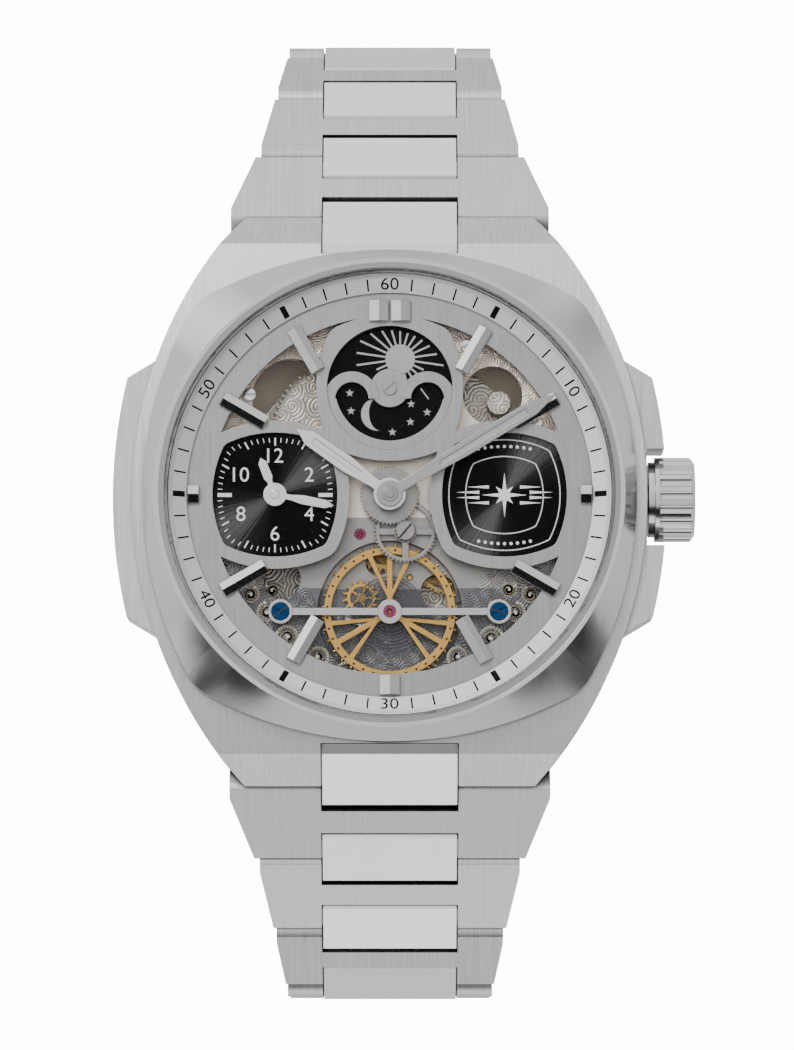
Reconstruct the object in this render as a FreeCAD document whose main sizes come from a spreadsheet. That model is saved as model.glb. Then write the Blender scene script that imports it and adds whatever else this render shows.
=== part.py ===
"""Skeleton wristwatch on a steel H-link bracelet, closed round the wrist.

Row frame, in millimetres: the origin is the centre of the case back's outer face, +Z points out through the
dial, +Y to 12 o'clock and +X to 3 o'clock, where the crown is. Every size that drives the model is a cell of
the sheet "dims", and the sub-parts are bound to those cells.
"""

import FreeCAD, Part
import math
import os

import Sketcher
from FreeCAD import Placement, Rotation, Vector

doc = FreeCAD.newDocument("skeleton_watch")
sheet = doc.addObject("Spreadsheet::Sheet", "dims")
sub_parts = []

DIMENSIONS = {
    # case, bezel and crystals
    "case_side_x": 19.95,
    "case_side_radius": 33.0,
    "case_bottom_z": 1.0,
    "case_top_z": 8.0,
    "case_crown_radius": 140.0,
    "bore_radius": 16.6,
    "flank_x": 21.5,
    "flank_radius": 40.0,
    "flank_half_length": 9.0,
    "flank_bottom_z": 1.8,
    "flank_top_z": 7.1,
    "flank_bevel": 1.1,
    "crown_gap_half": 3.75,
    "bezel_half": 19.1,
    "bezel_side_radius": 29.5,
    "bezel_corner_radius": 4.0,
    "bezel_seat_z": 6.9,
    "bezel_edge_z": 8.9,
    "bezel_rim_z": 11.0,
    "bezel_rim_radius": 18.15,
    "crystal_radius": 17.4,
    "crystal_z": 10.0,
    "crystal_top_z": 11.7,
    "crystal_bevel": 0.35,
    "gasket_wall": 0.4,
    "flange_outer_radius": 17.15,
    "back_radius": 17.8,
    "back_spigot_radius": 16.4,
    "back_spigot_z": 1.6,
    "back_glass_radius": 12.6,
    "back_glass_z": 1.0,
    "back_screw_circle": 17.1,
    "back_screw_radius": 0.5,
    # dial
    "dial_z": 8.4,
    "dial_top_z": 8.8,
    "dial_radius": 16.55,
    "dial_ring_inner": 13.9,
    "flange_inner_radius": 15.7,
    "flange_top_z": 9.85,
    "sub_x": 8.87,
    "sub_half": 4.82,
    "sub_side_radius": 8.6,
    "sub_corner_radius": 0.8,
    "frame_wall": 0.95,
    "sub_dial_z": 8.15,
    "moon_y": 8.3,
    "moon_window": 4.85,
    "moon_frame_half": 5.7,
    "moon_frame_side_radius": 9.6,
    "moon_frame_corner": 1.7,
    "marker_in": 11.1,
    "marker_out": 14.9,
    "marker_width": 1.15,
    "marker_wall": 0.3,
    "marker_height": 0.6,
    "lobe_x": 2.93,
    "lobe_y": -0.82,
    "lobe_inner": 1.28,
    "lobe_outer": 2.12,
    "boss_radius": 1.5,
    "rim_inner": 4.25,
    # hands and motion works
    "hour_hand_z": 9.25,
    "minute_hand_z": 9.6,
    "hand_thickness": 0.16,
    "hour_length": 8.8,
    "minute_length": 15.1,
    "hour_hand_angle": 304.9,
    "minute_hand_angle": 59.0,
    "dual_hour_angle": 338.4,
    "dual_minute_angle": 100.9,
    "dual_hour_length": 3.1,
    "dual_minute_length": 4.65,
    "cannon_teeth": 12,
    "minute_teeth": 48,
    "minute_pinion_teeth": 16,
    "hour_teeth": 48,
    "motion_distance": 3.0,
    "motion_angle": -66.0,
    "moon_disc_radius": 5.25,
    # movement
    "plate_radius": 15.1,
    "plate_z": 5.6,
    "plate_top_z": 6.9,
    "well_floor_z": 6.0,
    "well_radius": 5.6,
    "bridge_radius": 11.9,
    "bridge_z": 2.5,
    "bridge_top_z": 3.2,
    "barrel_teeth": 72,
    "centre_pinion_teeth": 12,
    "centre_teeth": 80,
    "third_pinion_teeth": 10,
    "third_teeth": 75,
    "fourth_pinion_teeth": 10,
    "fourth_teeth": 84,
    "escape_pinion_teeth": 7,
    "escape_teeth": 15,
    "barrel_module": 0.155,
    "centre_module": 0.14,
    "third_module": 0.105,
    "fourth_module": 0.09,
    "barrel_angle": 123.7,
    "third_angle": -34.7,
    "fourth_angle": 215.8,
    "escape_angle": 203.0,
    "balance_y": -9.0,
    "balance_radius": 5.1,
    "balance_rim": 0.55,
    "balance_z": 6.7,
    "balance_height": 0.35,
    "pallet_to_escape": 2.2,
    "pallet_to_balance": 2.3,
    "cock_screw_x": 8.45,
    "cock_z": 7.6,
    "cock_height": 0.4,
    "rotor_radius": 14.6,
    "rotor_z": 1.7,
    "rotor_thickness": 0.5,
    # crown and stem
    "crown_z": 4.6,
    "crown_radius": 3.3,
    "crown_x": 20.1,
    "crown_end_x": 23.7,
    "stem_radius": 0.5,
    "stem_end_x": 10.8,
    "tube_radius": 1.1,
    # bracelet
    "lug_pin_y": 22.5,
    "lug_pin_z": 2.0,
    "lug_crest_y": 19.9,
    "lug_end_y": 22.3,
    "lug_end_z": 4.1,
    "flat_tilt": 10.0,
    "pitch": 6.6,
    "link_half_thickness": 1.35,
    "link_edge": 0.22,
    "nose_radius": 1.6,
    "recess_radius": 1.7,
    "centre_half_width": 5.25,
    "centre_start": 3.2,
    "centre_over": 1.0,
    "centre_relief": 0.25,
    "crossbar_start": 1.13,
    "crossbar_end": 3.08,
    "slot_gap": 0.1,
    "second_pin": 3.9,
    "pin_radius": 0.45,
    "pin_play": 0.05,
    "clasp_half_width": 8.0,
    "clasp_wall": 1.0,
    "clasp_length": 36.6,
    "blade_half_width": 5.2,
    "blade_gap": 0.15,
    "blade_pin_radius": 0.5,
    "button_half": 1.6,
}
LINK_ANGLES = (33.0, 39.0, 55.0, 92.0, 112.0, 130.0, 148.0, 165.0)
SEAM_HALF_WIDTHS = (12.5, 10.2, 8.95, 8.15, 8.05, 8.0, 8.0, 8.0, 8.0)
DIMENSIONS.update({f"link_angle_{n}": a for n, a in enumerate(LINK_ANGLES, 1)})
DIMENSIONS.update({f"seam_half_{n}": w for n, w in enumerate(SEAM_HALF_WIDTHS)})


# ---------------------------------------------------------------- numbers bound to the sheet
class Dim:
    """A number together with the sheet expression that gives it."""

    def __init__(self, value, text):
        self.value, self.text = value, text

    def __add__(self, other):
        return Dim(self.value + dim(other).value, f"({self.text} + {dim(other).text})")

    def __sub__(self, other):
        return Dim(self.value - dim(other).value, f"({self.text} - {dim(other).text})")

    def __mul__(self, other):
        return Dim(self.value * dim(other).value, f"({self.text} * {dim(other).text})")

    def __truediv__(self, other):
        return Dim(self.value / dim(other).value, f"({self.text} / {dim(other).text})")

    def __neg__(self):
        return Dim(-self.value, f"(0 - {self.text})")

    def __radd__(self, other):
        return dim(other) + self

    def __rsub__(self, other):
        return dim(other) - self

    def __rmul__(self, other):
        return dim(other) * self

    def __float__(self):
        return float(self.value)


def dim(number):
    return number if isinstance(number, Dim) else Dim(float(number), f"{float(number):.9g}")


def cosine(degrees):
    return Dim(math.cos(math.radians(degrees.value)), f"cos({degrees.text} * 1deg)")


def sine(degrees):
    return Dim(math.sin(math.radians(degrees.value)), f"sin({degrees.text} * 1deg)")


def root(number):
    return Dim(math.sqrt(number.value), f"sqrt({number.text})")


class Cells:
    """cells.alias is the Dim of that cell."""

    def __getattr__(self, alias):
        return Dim(float(DIMENSIONS[alias]), f"dims.{alias}")


def fill_sheet():
    for row, (alias, value) in enumerate(DIMENSIONS.items(), 1):
        sheet.set(f"A{row}", alias)
        sheet.set(f"B{row}", f"{value}")
        sheet.setAlias(f"B{row}", alias)
    doc.recompute()


fill_sheet()
c = Cells()


# ---------------------------------------------------------------- document helpers
def bind(item, **values):
    for name, value in values.items():
        setattr(item, name, dim(value).value)
        item.setExpression(name, dim(value).text)
    return item


def place(item, x=0, y=0, z=0, axis=Vector(0, 0, 1), angle=0):
    """Puts item at x, y, z, turned by angle about axis, with each number bound."""
    at = [dim(n) for n in (x, y, z)]
    item.Placement = Placement(Vector(*[n.value for n in at]), Rotation(axis, dim(angle).value))
    for letter, number in zip("xyz", at):
        item.setExpression(f"Placement.Base.{letter}", number.text)
    if dim(angle).value:
        item.setExpression("Placement.Rotation.Angle", dim(angle).text)
    return item


def cylinder(radius, low, high, x=0, y=0):
    item = bind(doc.addObject("Part::Cylinder", "cylinder"), Radius=radius, Height=dim(high) - low)
    return place(item, x, y, low)


def cylinder_x(radius, low, high, y=0, z=0):
    """A cylinder along X, from x = low to x = high."""
    item = bind(doc.addObject("Part::Cylinder", "cylinder"), Radius=radius, Height=dim(high) - low)
    return place(item, low, y, z, Vector(0, 1, 0), 90)


def cone_x(radius_low, radius_high, low, high, y=0, z=0):
    item = doc.addObject("Part::Cone", "cone")
    bind(item, Radius1=radius_low, Radius2=radius_high, Height=dim(high) - low)
    return place(item, low, y, z, Vector(0, 1, 0), 90)


def box(x, y, z):
    """A box between the two numbers of each of x, y and z."""
    item = doc.addObject("Part::Box", "box")
    bind(item, Length=dim(x[1]) - x[0], Width=dim(y[1]) - y[0], Height=dim(z[1]) - z[0])
    return place(item, x[0], y[0], z[0])


def cut(base, *tools, name="cut"):
    for tool in tools:
        item = doc.addObject("Part::Cut", name)
        item.Base, item.Tool = base, tool
        base = item
    return base


def fuse(*items, name="fuse"):
    item = doc.addObject("Part::MultiFuse", name)
    item.Shapes = list(items)
    return item


def common(*items, name="common"):
    item = doc.addObject("Part::MultiCommon", name)
    item.Shapes = list(items)
    return item


def group(*items, name="group"):
    item = doc.addObject("Part::Compound", name)
    item.Links = list(items)
    return item


def feature(shape, name="shape"):
    item = doc.addObject("Part::Feature", name)
    item.Shape = shape
    return item


def sub_part(name, item):
    """Keeps item as the sub-part of that name."""
    item.Label = name
    sub_parts.append(item)
    return item


def new_body(name):
    return doc.addObject("PartDesign::Body", name)


def sketch(body, plane, offset=0):
    item = body.newObject("Sketcher::SketchObject", "sketch")
    support = [f for f in body.Origin.OriginFeatures if f.Role == f"{plane}_Plane"][0]
    item.AttachmentSupport = [(support, "")]
    item.MapMode = "FlatFace"
    item.AttachmentOffset = Placement(Vector(0, 0, dim(offset).value), Rotation())
    item.setExpression("AttachmentOffset.Base.z", dim(offset).text)
    return item


def pin_down(item, geometry, point, x, y):
    """Binds one point of a sketch to its distances from the sketch's origin."""
    for kind, number in (("DistanceX", dim(x)), ("DistanceY", dim(y))):
        index = item.addConstraint(Sketcher.Constraint(kind, -1, 1, geometry, point, number.value))
        item.setExpression(f"Constraints[{index}]", number.text)


def draw_outline(item, points):
    """Draws a closed outline of straight lines through points."""
    points = [(dim(x), dim(y)) for x, y in points]
    corners = [Vector(x.value, y.value, 0) for x, y in points]
    lines = [
        item.addGeometry(Part.LineSegment(corners[n], corners[(n + 1) % len(corners)]), False)
        for n in range(len(corners))
    ]
    for n, line in enumerate(lines):
        item.addConstraint(Sketcher.Constraint("Coincident", line, 2, lines[(n + 1) % len(lines)], 1))
        pin_down(item, line, 1, *points[n])


def draw_circle(item, x, y, radius):
    centre = Vector(dim(x).value, dim(y).value, 0)
    circle = item.addGeometry(Part.Circle(centre, Vector(0, 0, 1), dim(radius).value), False)
    index = item.addConstraint(Sketcher.Constraint("Radius", circle, dim(radius).value))
    item.setExpression(f"Constraints[{index}]", dim(radius).text)
    pin_down(item, circle, 3, x, y)


def pad(body, profile, length, both_ways=False):
    item = body.newObject("PartDesign::Pad", "pad")
    item.Profile = profile
    bind(item, Length=length)
    item.Midplane = both_ways
    return item


def pocket(body, profile, depth, both_ways=False, reverse=False):
    """Cuts profile out of the body; it stops if nothing was cut."""
    doc.recompute()
    before = body.Shape.Volume
    item = body.newObject("PartDesign::Pocket", "pocket")
    item.Profile = profile
    bind(item, Length=depth)
    item.Midplane = both_ways
    item.Reversed = reverse
    doc.recompute()
    if not body.Shape.Volume < before - 1e-6:
        raise RuntimeError(f"a pocket of {body.Label} cuts nothing")
    return item


def disc_body(name, radius, low, high, holes=()):
    """A round plate with round holes, each (x, y, radius)."""
    body = new_body(name)
    outline = sketch(body, "XY", low)
    draw_circle(outline, 0, 0, radius)
    for hole in holes:
        draw_circle(outline, *hole)
    pad(body, outline, dim(high) - low)
    return body


def turned(name, profile):
    """A solid of revolution about Z; profile is its (radius, z) outline."""
    body = new_body(name)
    outline = sketch(body, "XZ")
    draw_outline(outline, profile)
    item = body.newObject("PartDesign::Revolution", "revolution")
    item.Profile = outline
    item.ReferenceAxis = (outline, ["V_Axis"])
    item.Angle = 360
    return body


def cushion(half, side_radius, corner_radius, low, high, x=0, y=0):
    """A prism with four bulging sides and rounded corners."""
    reach = dim(side_radius) - half
    sides = [
        cylinder(side_radius, low, high, x + dim(dx) * reach, y + dim(dy) * reach)
        for dx, dy in ((1, 0), (-1, 0), (0, 1), (0, -1))
    ]
    body = common(*sides, name="cushion")
    doc.recompute()
    tall = (dim(high) - low).value
    rounded = doc.addObject("Part::Fillet", "cushion")
    rounded.Base = body
    upright = [n for n, e in enumerate(body.Shape.Edges, 1) if is_upright(e, tall)]
    rounded.Edges = [(n, dim(corner_radius).value, dim(corner_radius).value) for n in upright]
    return rounded


def is_upright(edge, tall):
    box_of = edge.BoundBox
    return abs(box_of.ZLength - tall) < 1e-6 and max(box_of.XLength, box_of.YLength) < 1e-6


def circle_face(radius, x=0, y=0, z=0):
    return Part.Face(Part.Wire(Part.makeCircle(radius, Vector(x, y, z))))


def polar(radius, degrees, x=0, y=0, z=0):
    turn = math.radians(degrees)
    return Vector(x + radius * math.cos(turn), y + radius * math.sin(turn), z)


def polygon_face(points):
    return Part.Face(Part.makePolygon([*points, points[0]]))


# ---------------------------------------------------------------- case
def wedge(name, points, half_length, x=0):
    """A prism along X; points is its (y, z) outline."""
    body = new_body(name)
    outline = sketch(body, "YZ", x)
    draw_outline(outline, points)
    pad(body, outline, dim(half_length) * 2, both_ways=True)
    return body


def case_block():
    reach = c.case_side_radius - c.case_side_x
    low, high = c.case_bottom_z, c.case_top_z + 0.5
    crown_surface = place(
        bind(doc.addObject("Part::Cylinder", "crowned_top"), Radius=c.case_crown_radius, Height=60),
        -30, 0, c.case_top_z - c.case_crown_radius, Vector(0, 1, 0), 90,
    )
    return common(
        cylinder(c.case_side_radius, low, high, x=reach),
        cylinder(c.case_side_radius, low, high, x=-reach),
        box((-20, 20), (-c.lug_end_y, c.lug_end_y), (low, high)),
        crown_surface,
        name="case_block",
    )


def flanks():
    """The raised bars along both sides of the case, open on the right for the crown."""
    end = c.flank_half_length
    tail = end + c.flank_bevel * 1.6
    body = new_body("flank")
    outline = sketch(body, "XY", c.flank_bottom_z)
    half = [(14, -tail), (18.0, -tail), (20.9, -end), (23, -end), (23, end), (20.9, end), (18.0, tail)]
    draw_outline(outline, [*half, (14, tail)])
    pad(body, outline, c.flank_top_z - c.flank_bottom_z)
    round_side = cylinder(c.flank_radius, 0, 9, x=c.flank_x - c.flank_radius)
    right = common(body, round_side, name="flank_right")
    left = doc.addObject("Part::Mirroring", "flank_left")
    left.Source = right
    left.Normal = Vector(1, 0, 0)
    gap = box((c.case_side_x, 25), (-c.crown_gap_half, c.crown_gap_half), (0, 9))
    return cut(right, gap), left


def lug_cutters(side):
    """The facet, nose recess and centre-link notch of one pair of lugs."""
    crest, over = c.lug_crest_y * side, dim(24) * side
    drop = (c.case_crown_radius * c.case_crown_radius - c.lug_crest_y * c.lug_crest_y)
    crest_z = c.case_top_z - c.case_crown_radius + root(drop)
    past_z = c.lug_end_z - (crest_z - c.lug_end_z) * (24 - c.lug_end_y) / (c.lug_end_y - c.lug_crest_y)
    facet = wedge("facet", [(crest, crest_z), (over, past_z), (over, 12), (crest, 12)], 20)
    nose = cylinder_x(c.recess_radius, -20, 20, c.lug_pin_y * side, c.lug_pin_z)
    half = c.centre_half_width + c.slot_gap
    notch_y = (c.bezel_half, over) if side > 0 else (over, -c.bezel_half)
    notch = box((-half, half), notch_y, (0, 12))
    return facet, nose, notch


def make_case():
    right, left = flanks()
    solid = fuse(case_block(), right, left)
    solid = cut(solid, *lug_cutters(1), *lug_cutters(-1))
    solid = cut(solid, cylinder(c.bore_radius, 0, 9))
    seat = cushion(c.bezel_half, c.bezel_side_radius, c.bezel_corner_radius, c.bezel_seat_z, 9)
    solid = cut(solid, seat)
    solid = cut(solid, cylinder_x(c.tube_radius, 14, 24, 0, c.crown_z))
    for x, y in screw_spots(c.back_screw_circle.value, 6, 30):
        solid = cut(solid, cylinder(0.4, 0, 3.2, x, y))
    tube = cylinder_x(c.tube_radius, c.bore_radius + 0.1, c.crown_x + 1.3, 0, c.crown_z)
    tube = cut(tube, cylinder_x(c.stem_radius + 0.08, 14, 25, 0, c.crown_z))
    sub_part("case_middle", group(solid, tube))


def screw_spots(radius, count, first):
    spots = [polar(radius, first + n * 360 / count) for n in range(count)]
    return [(p.x, p.y) for p in spots]


def cushion_arcs(half, side_radius, corner_radius, z):
    """The eight arcs of a cushion outline at height z, anticlockwise from the +X side."""
    reach = side_radius - half
    inner = side_radius - corner_radius
    offset = (-reach + math.sqrt(2 * inner**2 - reach**2)) / 2
    arcs = []
    for turn in (0, 90, 180, 270):
        start = math.degrees(math.atan2(offset, offset + reach))
        arcs.append(arc(-reach, 0, side_radius, -start, start, z, turn))
        arcs.append(arc(offset, offset, corner_radius, start, 90 - start, z, turn))
    return arcs


def arc(x, y, radius, start, end, z, turn):
    edge = Part.makeCircle(radius, Vector(x, y, z), Vector(0, 0, 1), start, end)
    return edge.rotate(Vector(0, 0, 0), Vector(0, 0, 1), turn)


def circle_arcs(radius, like, z):
    """A circle split into arcs that start in the directions in which the edges of like start."""
    spots = [edge.valueAt(edge.FirstParameter) for edge in like]
    angles = [math.degrees(math.atan2(p.y, p.x)) for p in spots]
    spans = [(b - a) % 360 for a, b in zip(angles, angles[1:] + angles[:1])]
    return [
        Part.makeCircle(radius, Vector(0, 0, z), Vector(0, 0, 1), a, a + span)
        for a, span in zip(angles, spans)
    ]


def make_bezel():
    half, side, corner = c.bezel_half.value, c.bezel_side_radius.value, c.bezel_corner_radius.value
    edge = cushion_arcs(half, side, corner, c.bezel_edge_z.value)
    rim = circle_arcs(c.bezel_rim_radius.value, edge, c.bezel_rim_z.value)
    slope = feature(Part.makeLoft([Part.Wire(edge), Part.Wire(rim)], True, True), "bezel_slope")
    foot = feature(
        Part.Face(Part.Wire(cushion_arcs(half, side, corner, c.bezel_seat_z.value)))
        .extrude(Vector(0, 0, (c.bezel_edge_z - c.bezel_seat_z).value)), "bezel_foot",
    )
    crystal_bore = cylinder(c.crystal_radius + c.gasket_wall, c.crystal_z, 13)
    bore = cylinder(c.flange_outer_radius, 0, 13)
    sub_part("bezel", cut(fuse(foot, slope), bore, crystal_bore))


def make_crystals():
    radius, top, bevel = c.crystal_radius, c.crystal_top_z, c.crystal_bevel
    low = c.crystal_z
    profile = [(0, low), (radius, low), (radius, top - bevel), (radius - bevel, top), (0, top)]
    sub_part("crystal", turned("crystal", profile))
    outer = radius + c.gasket_wall
    ring = [(radius, low), (outer, low), (outer, c.bezel_rim_z), (radius, c.bezel_rim_z)]
    sub_part("crystal_gasket", turned("crystal_gasket", ring))
    glass = disc_body("case_back_crystal", c.back_glass_radius, 0, c.back_glass_z)
    sub_part("case_back_crystal", glass)


def make_case_back():
    ledge = c.back_glass_radius - 0.8
    profile = [
        (c.back_glass_radius, 0), (c.back_radius, 0),
        (c.back_radius, c.case_bottom_z), (c.back_spigot_radius, c.case_bottom_z),
        (c.back_spigot_radius, c.back_spigot_z), (c.back_spigot_radius - 1.2, c.back_spigot_z),
        (ledge, c.back_glass_z + 0.25), (ledge, c.back_glass_z), (c.back_glass_radius, c.back_glass_z),
    ]
    solid = turned("back_ring", profile)
    for x, y in screw_spots(c.back_screw_circle.value, 6, 30):
        solid = cut(solid, cylinder(0.4, -1, 3, x, y))
        solid = cut(solid, cylinder(c.back_screw_radius, -1, 0.5, x, y))
    sub_part("case_back", solid)


def slotted_screw(x, y, top, head_radius, head, shank_radius, shank, angle, up=1):
    """A screw whose head's outer face is at z = top; up is -1 when it is driven from below."""
    base = Vector(x, y, top - up * head)
    axis = Vector(0, 0, up)
    solid = Part.makeCylinder(head_radius, head, base, axis)
    solid = solid.fuse(Part.makeCylinder(shank_radius, shank, base, axis * -1)).removeSplitter()
    width = head_radius * 0.3
    low = top - up * head * 0.45 if up > 0 else top
    slot = Part.makeBox(3 * head_radius, width, head * 0.45, Vector(-1.5 * head_radius, -width / 2, 0))
    slot.rotate(Vector(0, 0, 0), Vector(0, 0, 1), angle)
    slot.translate(Vector(x, y, low))
    return solid.cut(slot)


def make_back_screws():
    screws = [
        slotted_screw(x, y, 0.05, c.back_screw_radius.value - 0.02, 0.45, 0.38, 2.2, 35 * n, up=-1)
        for n, (x, y) in enumerate(screw_spots(c.back_screw_circle.value, 6, 30))
    ]
    sub_part("case_back_screws", feature(Part.makeCompound(screws)))


# ---------------------------------------------------------------- crown and stem
def make_crown():
    inner, outer, z = c.crown_x, c.crown_end_x, c.crown_z
    body = cylinder_x(c.crown_radius, inner + 0.5, outer - 0.35, 0, z)
    cap = cone_x(c.crown_radius, c.crown_radius - 0.45, outer - 0.35, outer, 0, z)
    collar = cylinder_x(c.crown_radius - 0.35, inner, inner + 0.5, 0, z)
    solid = fuse(body, cap, collar, name="crown_blank")
    flutes = []
    for n in range(20):
        spot = polar(c.crown_radius.value + 0.22, n * 18)
        flutes.append(cylinder_x(0.42, inner + 0.85, 26, spot.x, z + spot.y))
    solid = cut(solid, group(*flutes, name="flutes"))
    socket = cylinder_x(c.tube_radius + 0.12, inner - 1, inner + 2.0, 0, z)
    hole = cylinder_x(c.stem_radius, inner - 1, inner + 3.0, 0, z)
    sub_part("crown", cut(solid, socket, hole))


def make_stem():
    z, end = c.crown_z, c.crown_x + 3.0
    rod = cylinder_x(c.stem_radius, c.stem_end_x + 1.6, end, 0, z)
    square = 0.62
    tip = box((c.stem_end_x, c.stem_end_x + 1.6), (-square / 2, square / 2), (z - square / 2, z + square / 2))
    sub_part("winding_stem", fuse(rod, tip))


def make_clutch():
    """The sliding pinion on the square of the stem."""
    z, low = c.crown_z, c.stem_end_x + 0.1
    blank = fuse(
        cylinder_x(1.15, low, low + 0.5, 0, z), cylinder_x(0.8, low + 0.5, low + 0.9, 0, z),
        cylinder_x(1.15, low + 0.9, low + 1.4, 0, z),
    )
    notches = []
    for n in range(8):
        spot = polar(1.2, 45 * n)
        notches.append(cylinder_x(0.22, low - 1, low + 3, spot.x, z + spot.y))
    square = 0.35
    bore = box((low - 1, low + 3), (-square, square), (z - square, z + square))
    sub_part("clutch_wheel", cut(blank, group(*notches), bore))


# ---------------------------------------------------------------- dial
def make_dial():
    low, high = c.dial_z, c.dial_top_z
    ring = cut(cylinder(c.dial_radius, low, high), cylinder(c.dial_ring_inner, 0, 12))
    half = c.sub_half + c.frame_wall
    side, corner = c.sub_side_radius + c.frame_wall, c.sub_corner_radius + c.frame_wall
    frames = [cushion(half, side, corner, low, high, x=c.sub_x * s) for s in (-1, 1)]
    frames.append(cushion(c.moon_frame_half, c.moon_frame_side_radius, c.moon_frame_corner, low, high,
                          y=c.moon_y))
    plate = common(fuse(ring, *frames), cylinder(c.dial_radius, low, high))
    windows = [
        cushion(c.sub_half, c.sub_side_radius, c.sub_corner_radius, 8, 9, x=c.sub_x * s) for s in (-1, 1)
    ]
    plate = cut(plate, *windows, cylinder(c.moon_window, 8, 9, y=c.moon_y))
    sub_part("dial_plate", plate)


def make_sub_dials():
    half = c.sub_half + 0.5
    side, corner = c.sub_side_radius + 0.5, c.sub_corner_radius + 0.5
    left = cushion(half, side, corner, c.sub_dial_z, c.dial_z, x=-c.sub_x)
    sub_part("dual_time_dial", cut(left, cylinder(0.45, 8, 9, x=-c.sub_x)))
    sub_part("emblem_dial", cushion(half, side, corner, c.sub_dial_z, c.dial_z, x=c.sub_x))


def make_flange():
    profile = [
        (c.dial_radius - 0.45, c.dial_top_z), (c.flange_outer_radius - 0.05, c.dial_top_z),
        (c.flange_outer_radius - 0.05, c.crystal_z - 0.05), (c.flange_outer_radius - 0.3, c.flange_top_z),
        (c.flange_inner_radius, c.dial_top_z + 0.25), (c.flange_inner_radius, c.dial_top_z),
    ]
    sub_part("flange_ring", turned("flange_ring", profile))


def baton(length_from, length_to, width, angle, shift=0):
    """A marker with a roof: a five-sided prism laid along a radius."""
    low, high, wall = c.dial_top_z.value, c.marker_height.value, c.marker_wall.value
    half = width / 2
    outline = [(-half, 0), (half, 0), (half, wall), (0, high), (-half, wall)]
    face = polygon_face([Vector(x + shift, length_from, low + z) for x, z in outline])
    solid = face.extrude(Vector(0, length_to - length_from, 0))
    return solid.rotate(Vector(0, 0, 0), Vector(0, 0, 1), -angle)


def make_markers():
    edge = c.flange_inner_radius.value - 0.1
    width = c.marker_width.value
    solids = [
        baton(c.marker_in.value, c.marker_out.value, width, 30 * hour)
        for hour in (1, 2, 4, 5, 7, 8, 10, 11)
    ]
    solids += [baton(14.75, edge, 1.4, 90), baton(14.75, edge, 1.4, 270), baton(14.0, edge - 0.1, 1.55, 180)]
    solids += [baton(13.5, 15.1, 1.5, 0, shift) for shift in (-0.85, 0.85)]
    sub_part("hour_markers", feature(Part.makeCompound(solids)))


def make_moon_bridge():
    """The fixed scroll that hides half of the sun and moon disc, with its rim."""
    x, y, low, high = c.lobe_x.value, c.lobe_y.value, c.dial_z.value, c.dial_top_z.value - 0.08
    window = c.moon_window.value
    arches = [circle_face(c.lobe_outer.value, s * x, y) for s in (-1, 1)]
    upper = Part.makePlane(20, 20, Vector(-10, y, 0))
    scroll = arches[0].fuse(arches[1]).common(upper)
    scroll = scroll.cut([circle_face(c.lobe_inner.value, s * x, y) for s in (-1, 1)])
    rim = circle_face(window).cut(circle_face(c.rim_inner.value, 0, 0.15))
    rim = rim.common(Part.makePlane(20, 20 + y, Vector(-10, -20, 0)))
    face = scroll.fuse([rim, circle_face(c.boss_radius.value)]).common(circle_face(window))
    solid = face.removeSplitter().extrude(Vector(0, 0, high - low))
    solid = solid.cut(Part.makeCylinder(0.3, 2, Vector(0, 0, -1)))
    solid.translate(Vector(0, c.moon_y.value, low))
    screw = slotted_screw(0, c.moon_y.value, high + 0.12, 0.55, 0.12, 0.3, high - low, 45)
    sub_part("sun_moon_bridge", feature(Part.makeCompound([solid, screw])))


# ---------------------------------------------------------------- gears
def tooth_outline(teeth, module, phase):
    """The outline of a gear whose first tooth points at phase degrees."""
    pitch = 360 / teeth
    middle = teeth * module / 2
    steps = ((middle - 1.15 * module, 0.27), (middle, 0.19), (middle + 0.75 * module, 0.07))
    points = []
    for n in range(teeth):
        at = phase + n * pitch
        points += [polar(r, at - w * pitch) for r, w in steps]
        points += [polar(r, at + w * pitch) for r, w in reversed(steps)]
    return points


def gear(teeth, module, phase, low, high, windows=0, hub=0.9):
    """A spur gear about the Z axis; windows is the number of openings between its arms."""
    face = polygon_face(tooth_outline(teeth, module, phase))
    inner = teeth * module / 2 - 3.6 * module
    if windows:
        ring = circle_face(inner).cut(circle_face(hub))
        arms = [
            Part.makePlane(inner * 2, 0.5, Vector(0, -0.25, 0)).rotate(
                Vector(0, 0, 0), Vector(0, 0, 1), n * 360 / windows)
            for n in range(windows)
        ]
        face = face.cut(ring.cut(arms))
    solid = face.extrude(Vector(0, 0, high - low))
    solid.translate(Vector(0, 0, low))
    return solid


def rod(radius, low, high, x=0, y=0):
    return Part.makeCylinder(radius, high - low, Vector(x, y, low))


def fused(solids):
    return solids[0].fuse(solids[1:]).removeSplitter()


def wheel_part(name, spot, solids):
    solid = fused(solids)
    solid.translate(Vector(spot.x, spot.y, 0))
    sub_part(name, feature(solid))


def beside(spot, distance, degrees):
    return polar(distance, degrees, spot.x, spot.y)


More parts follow.
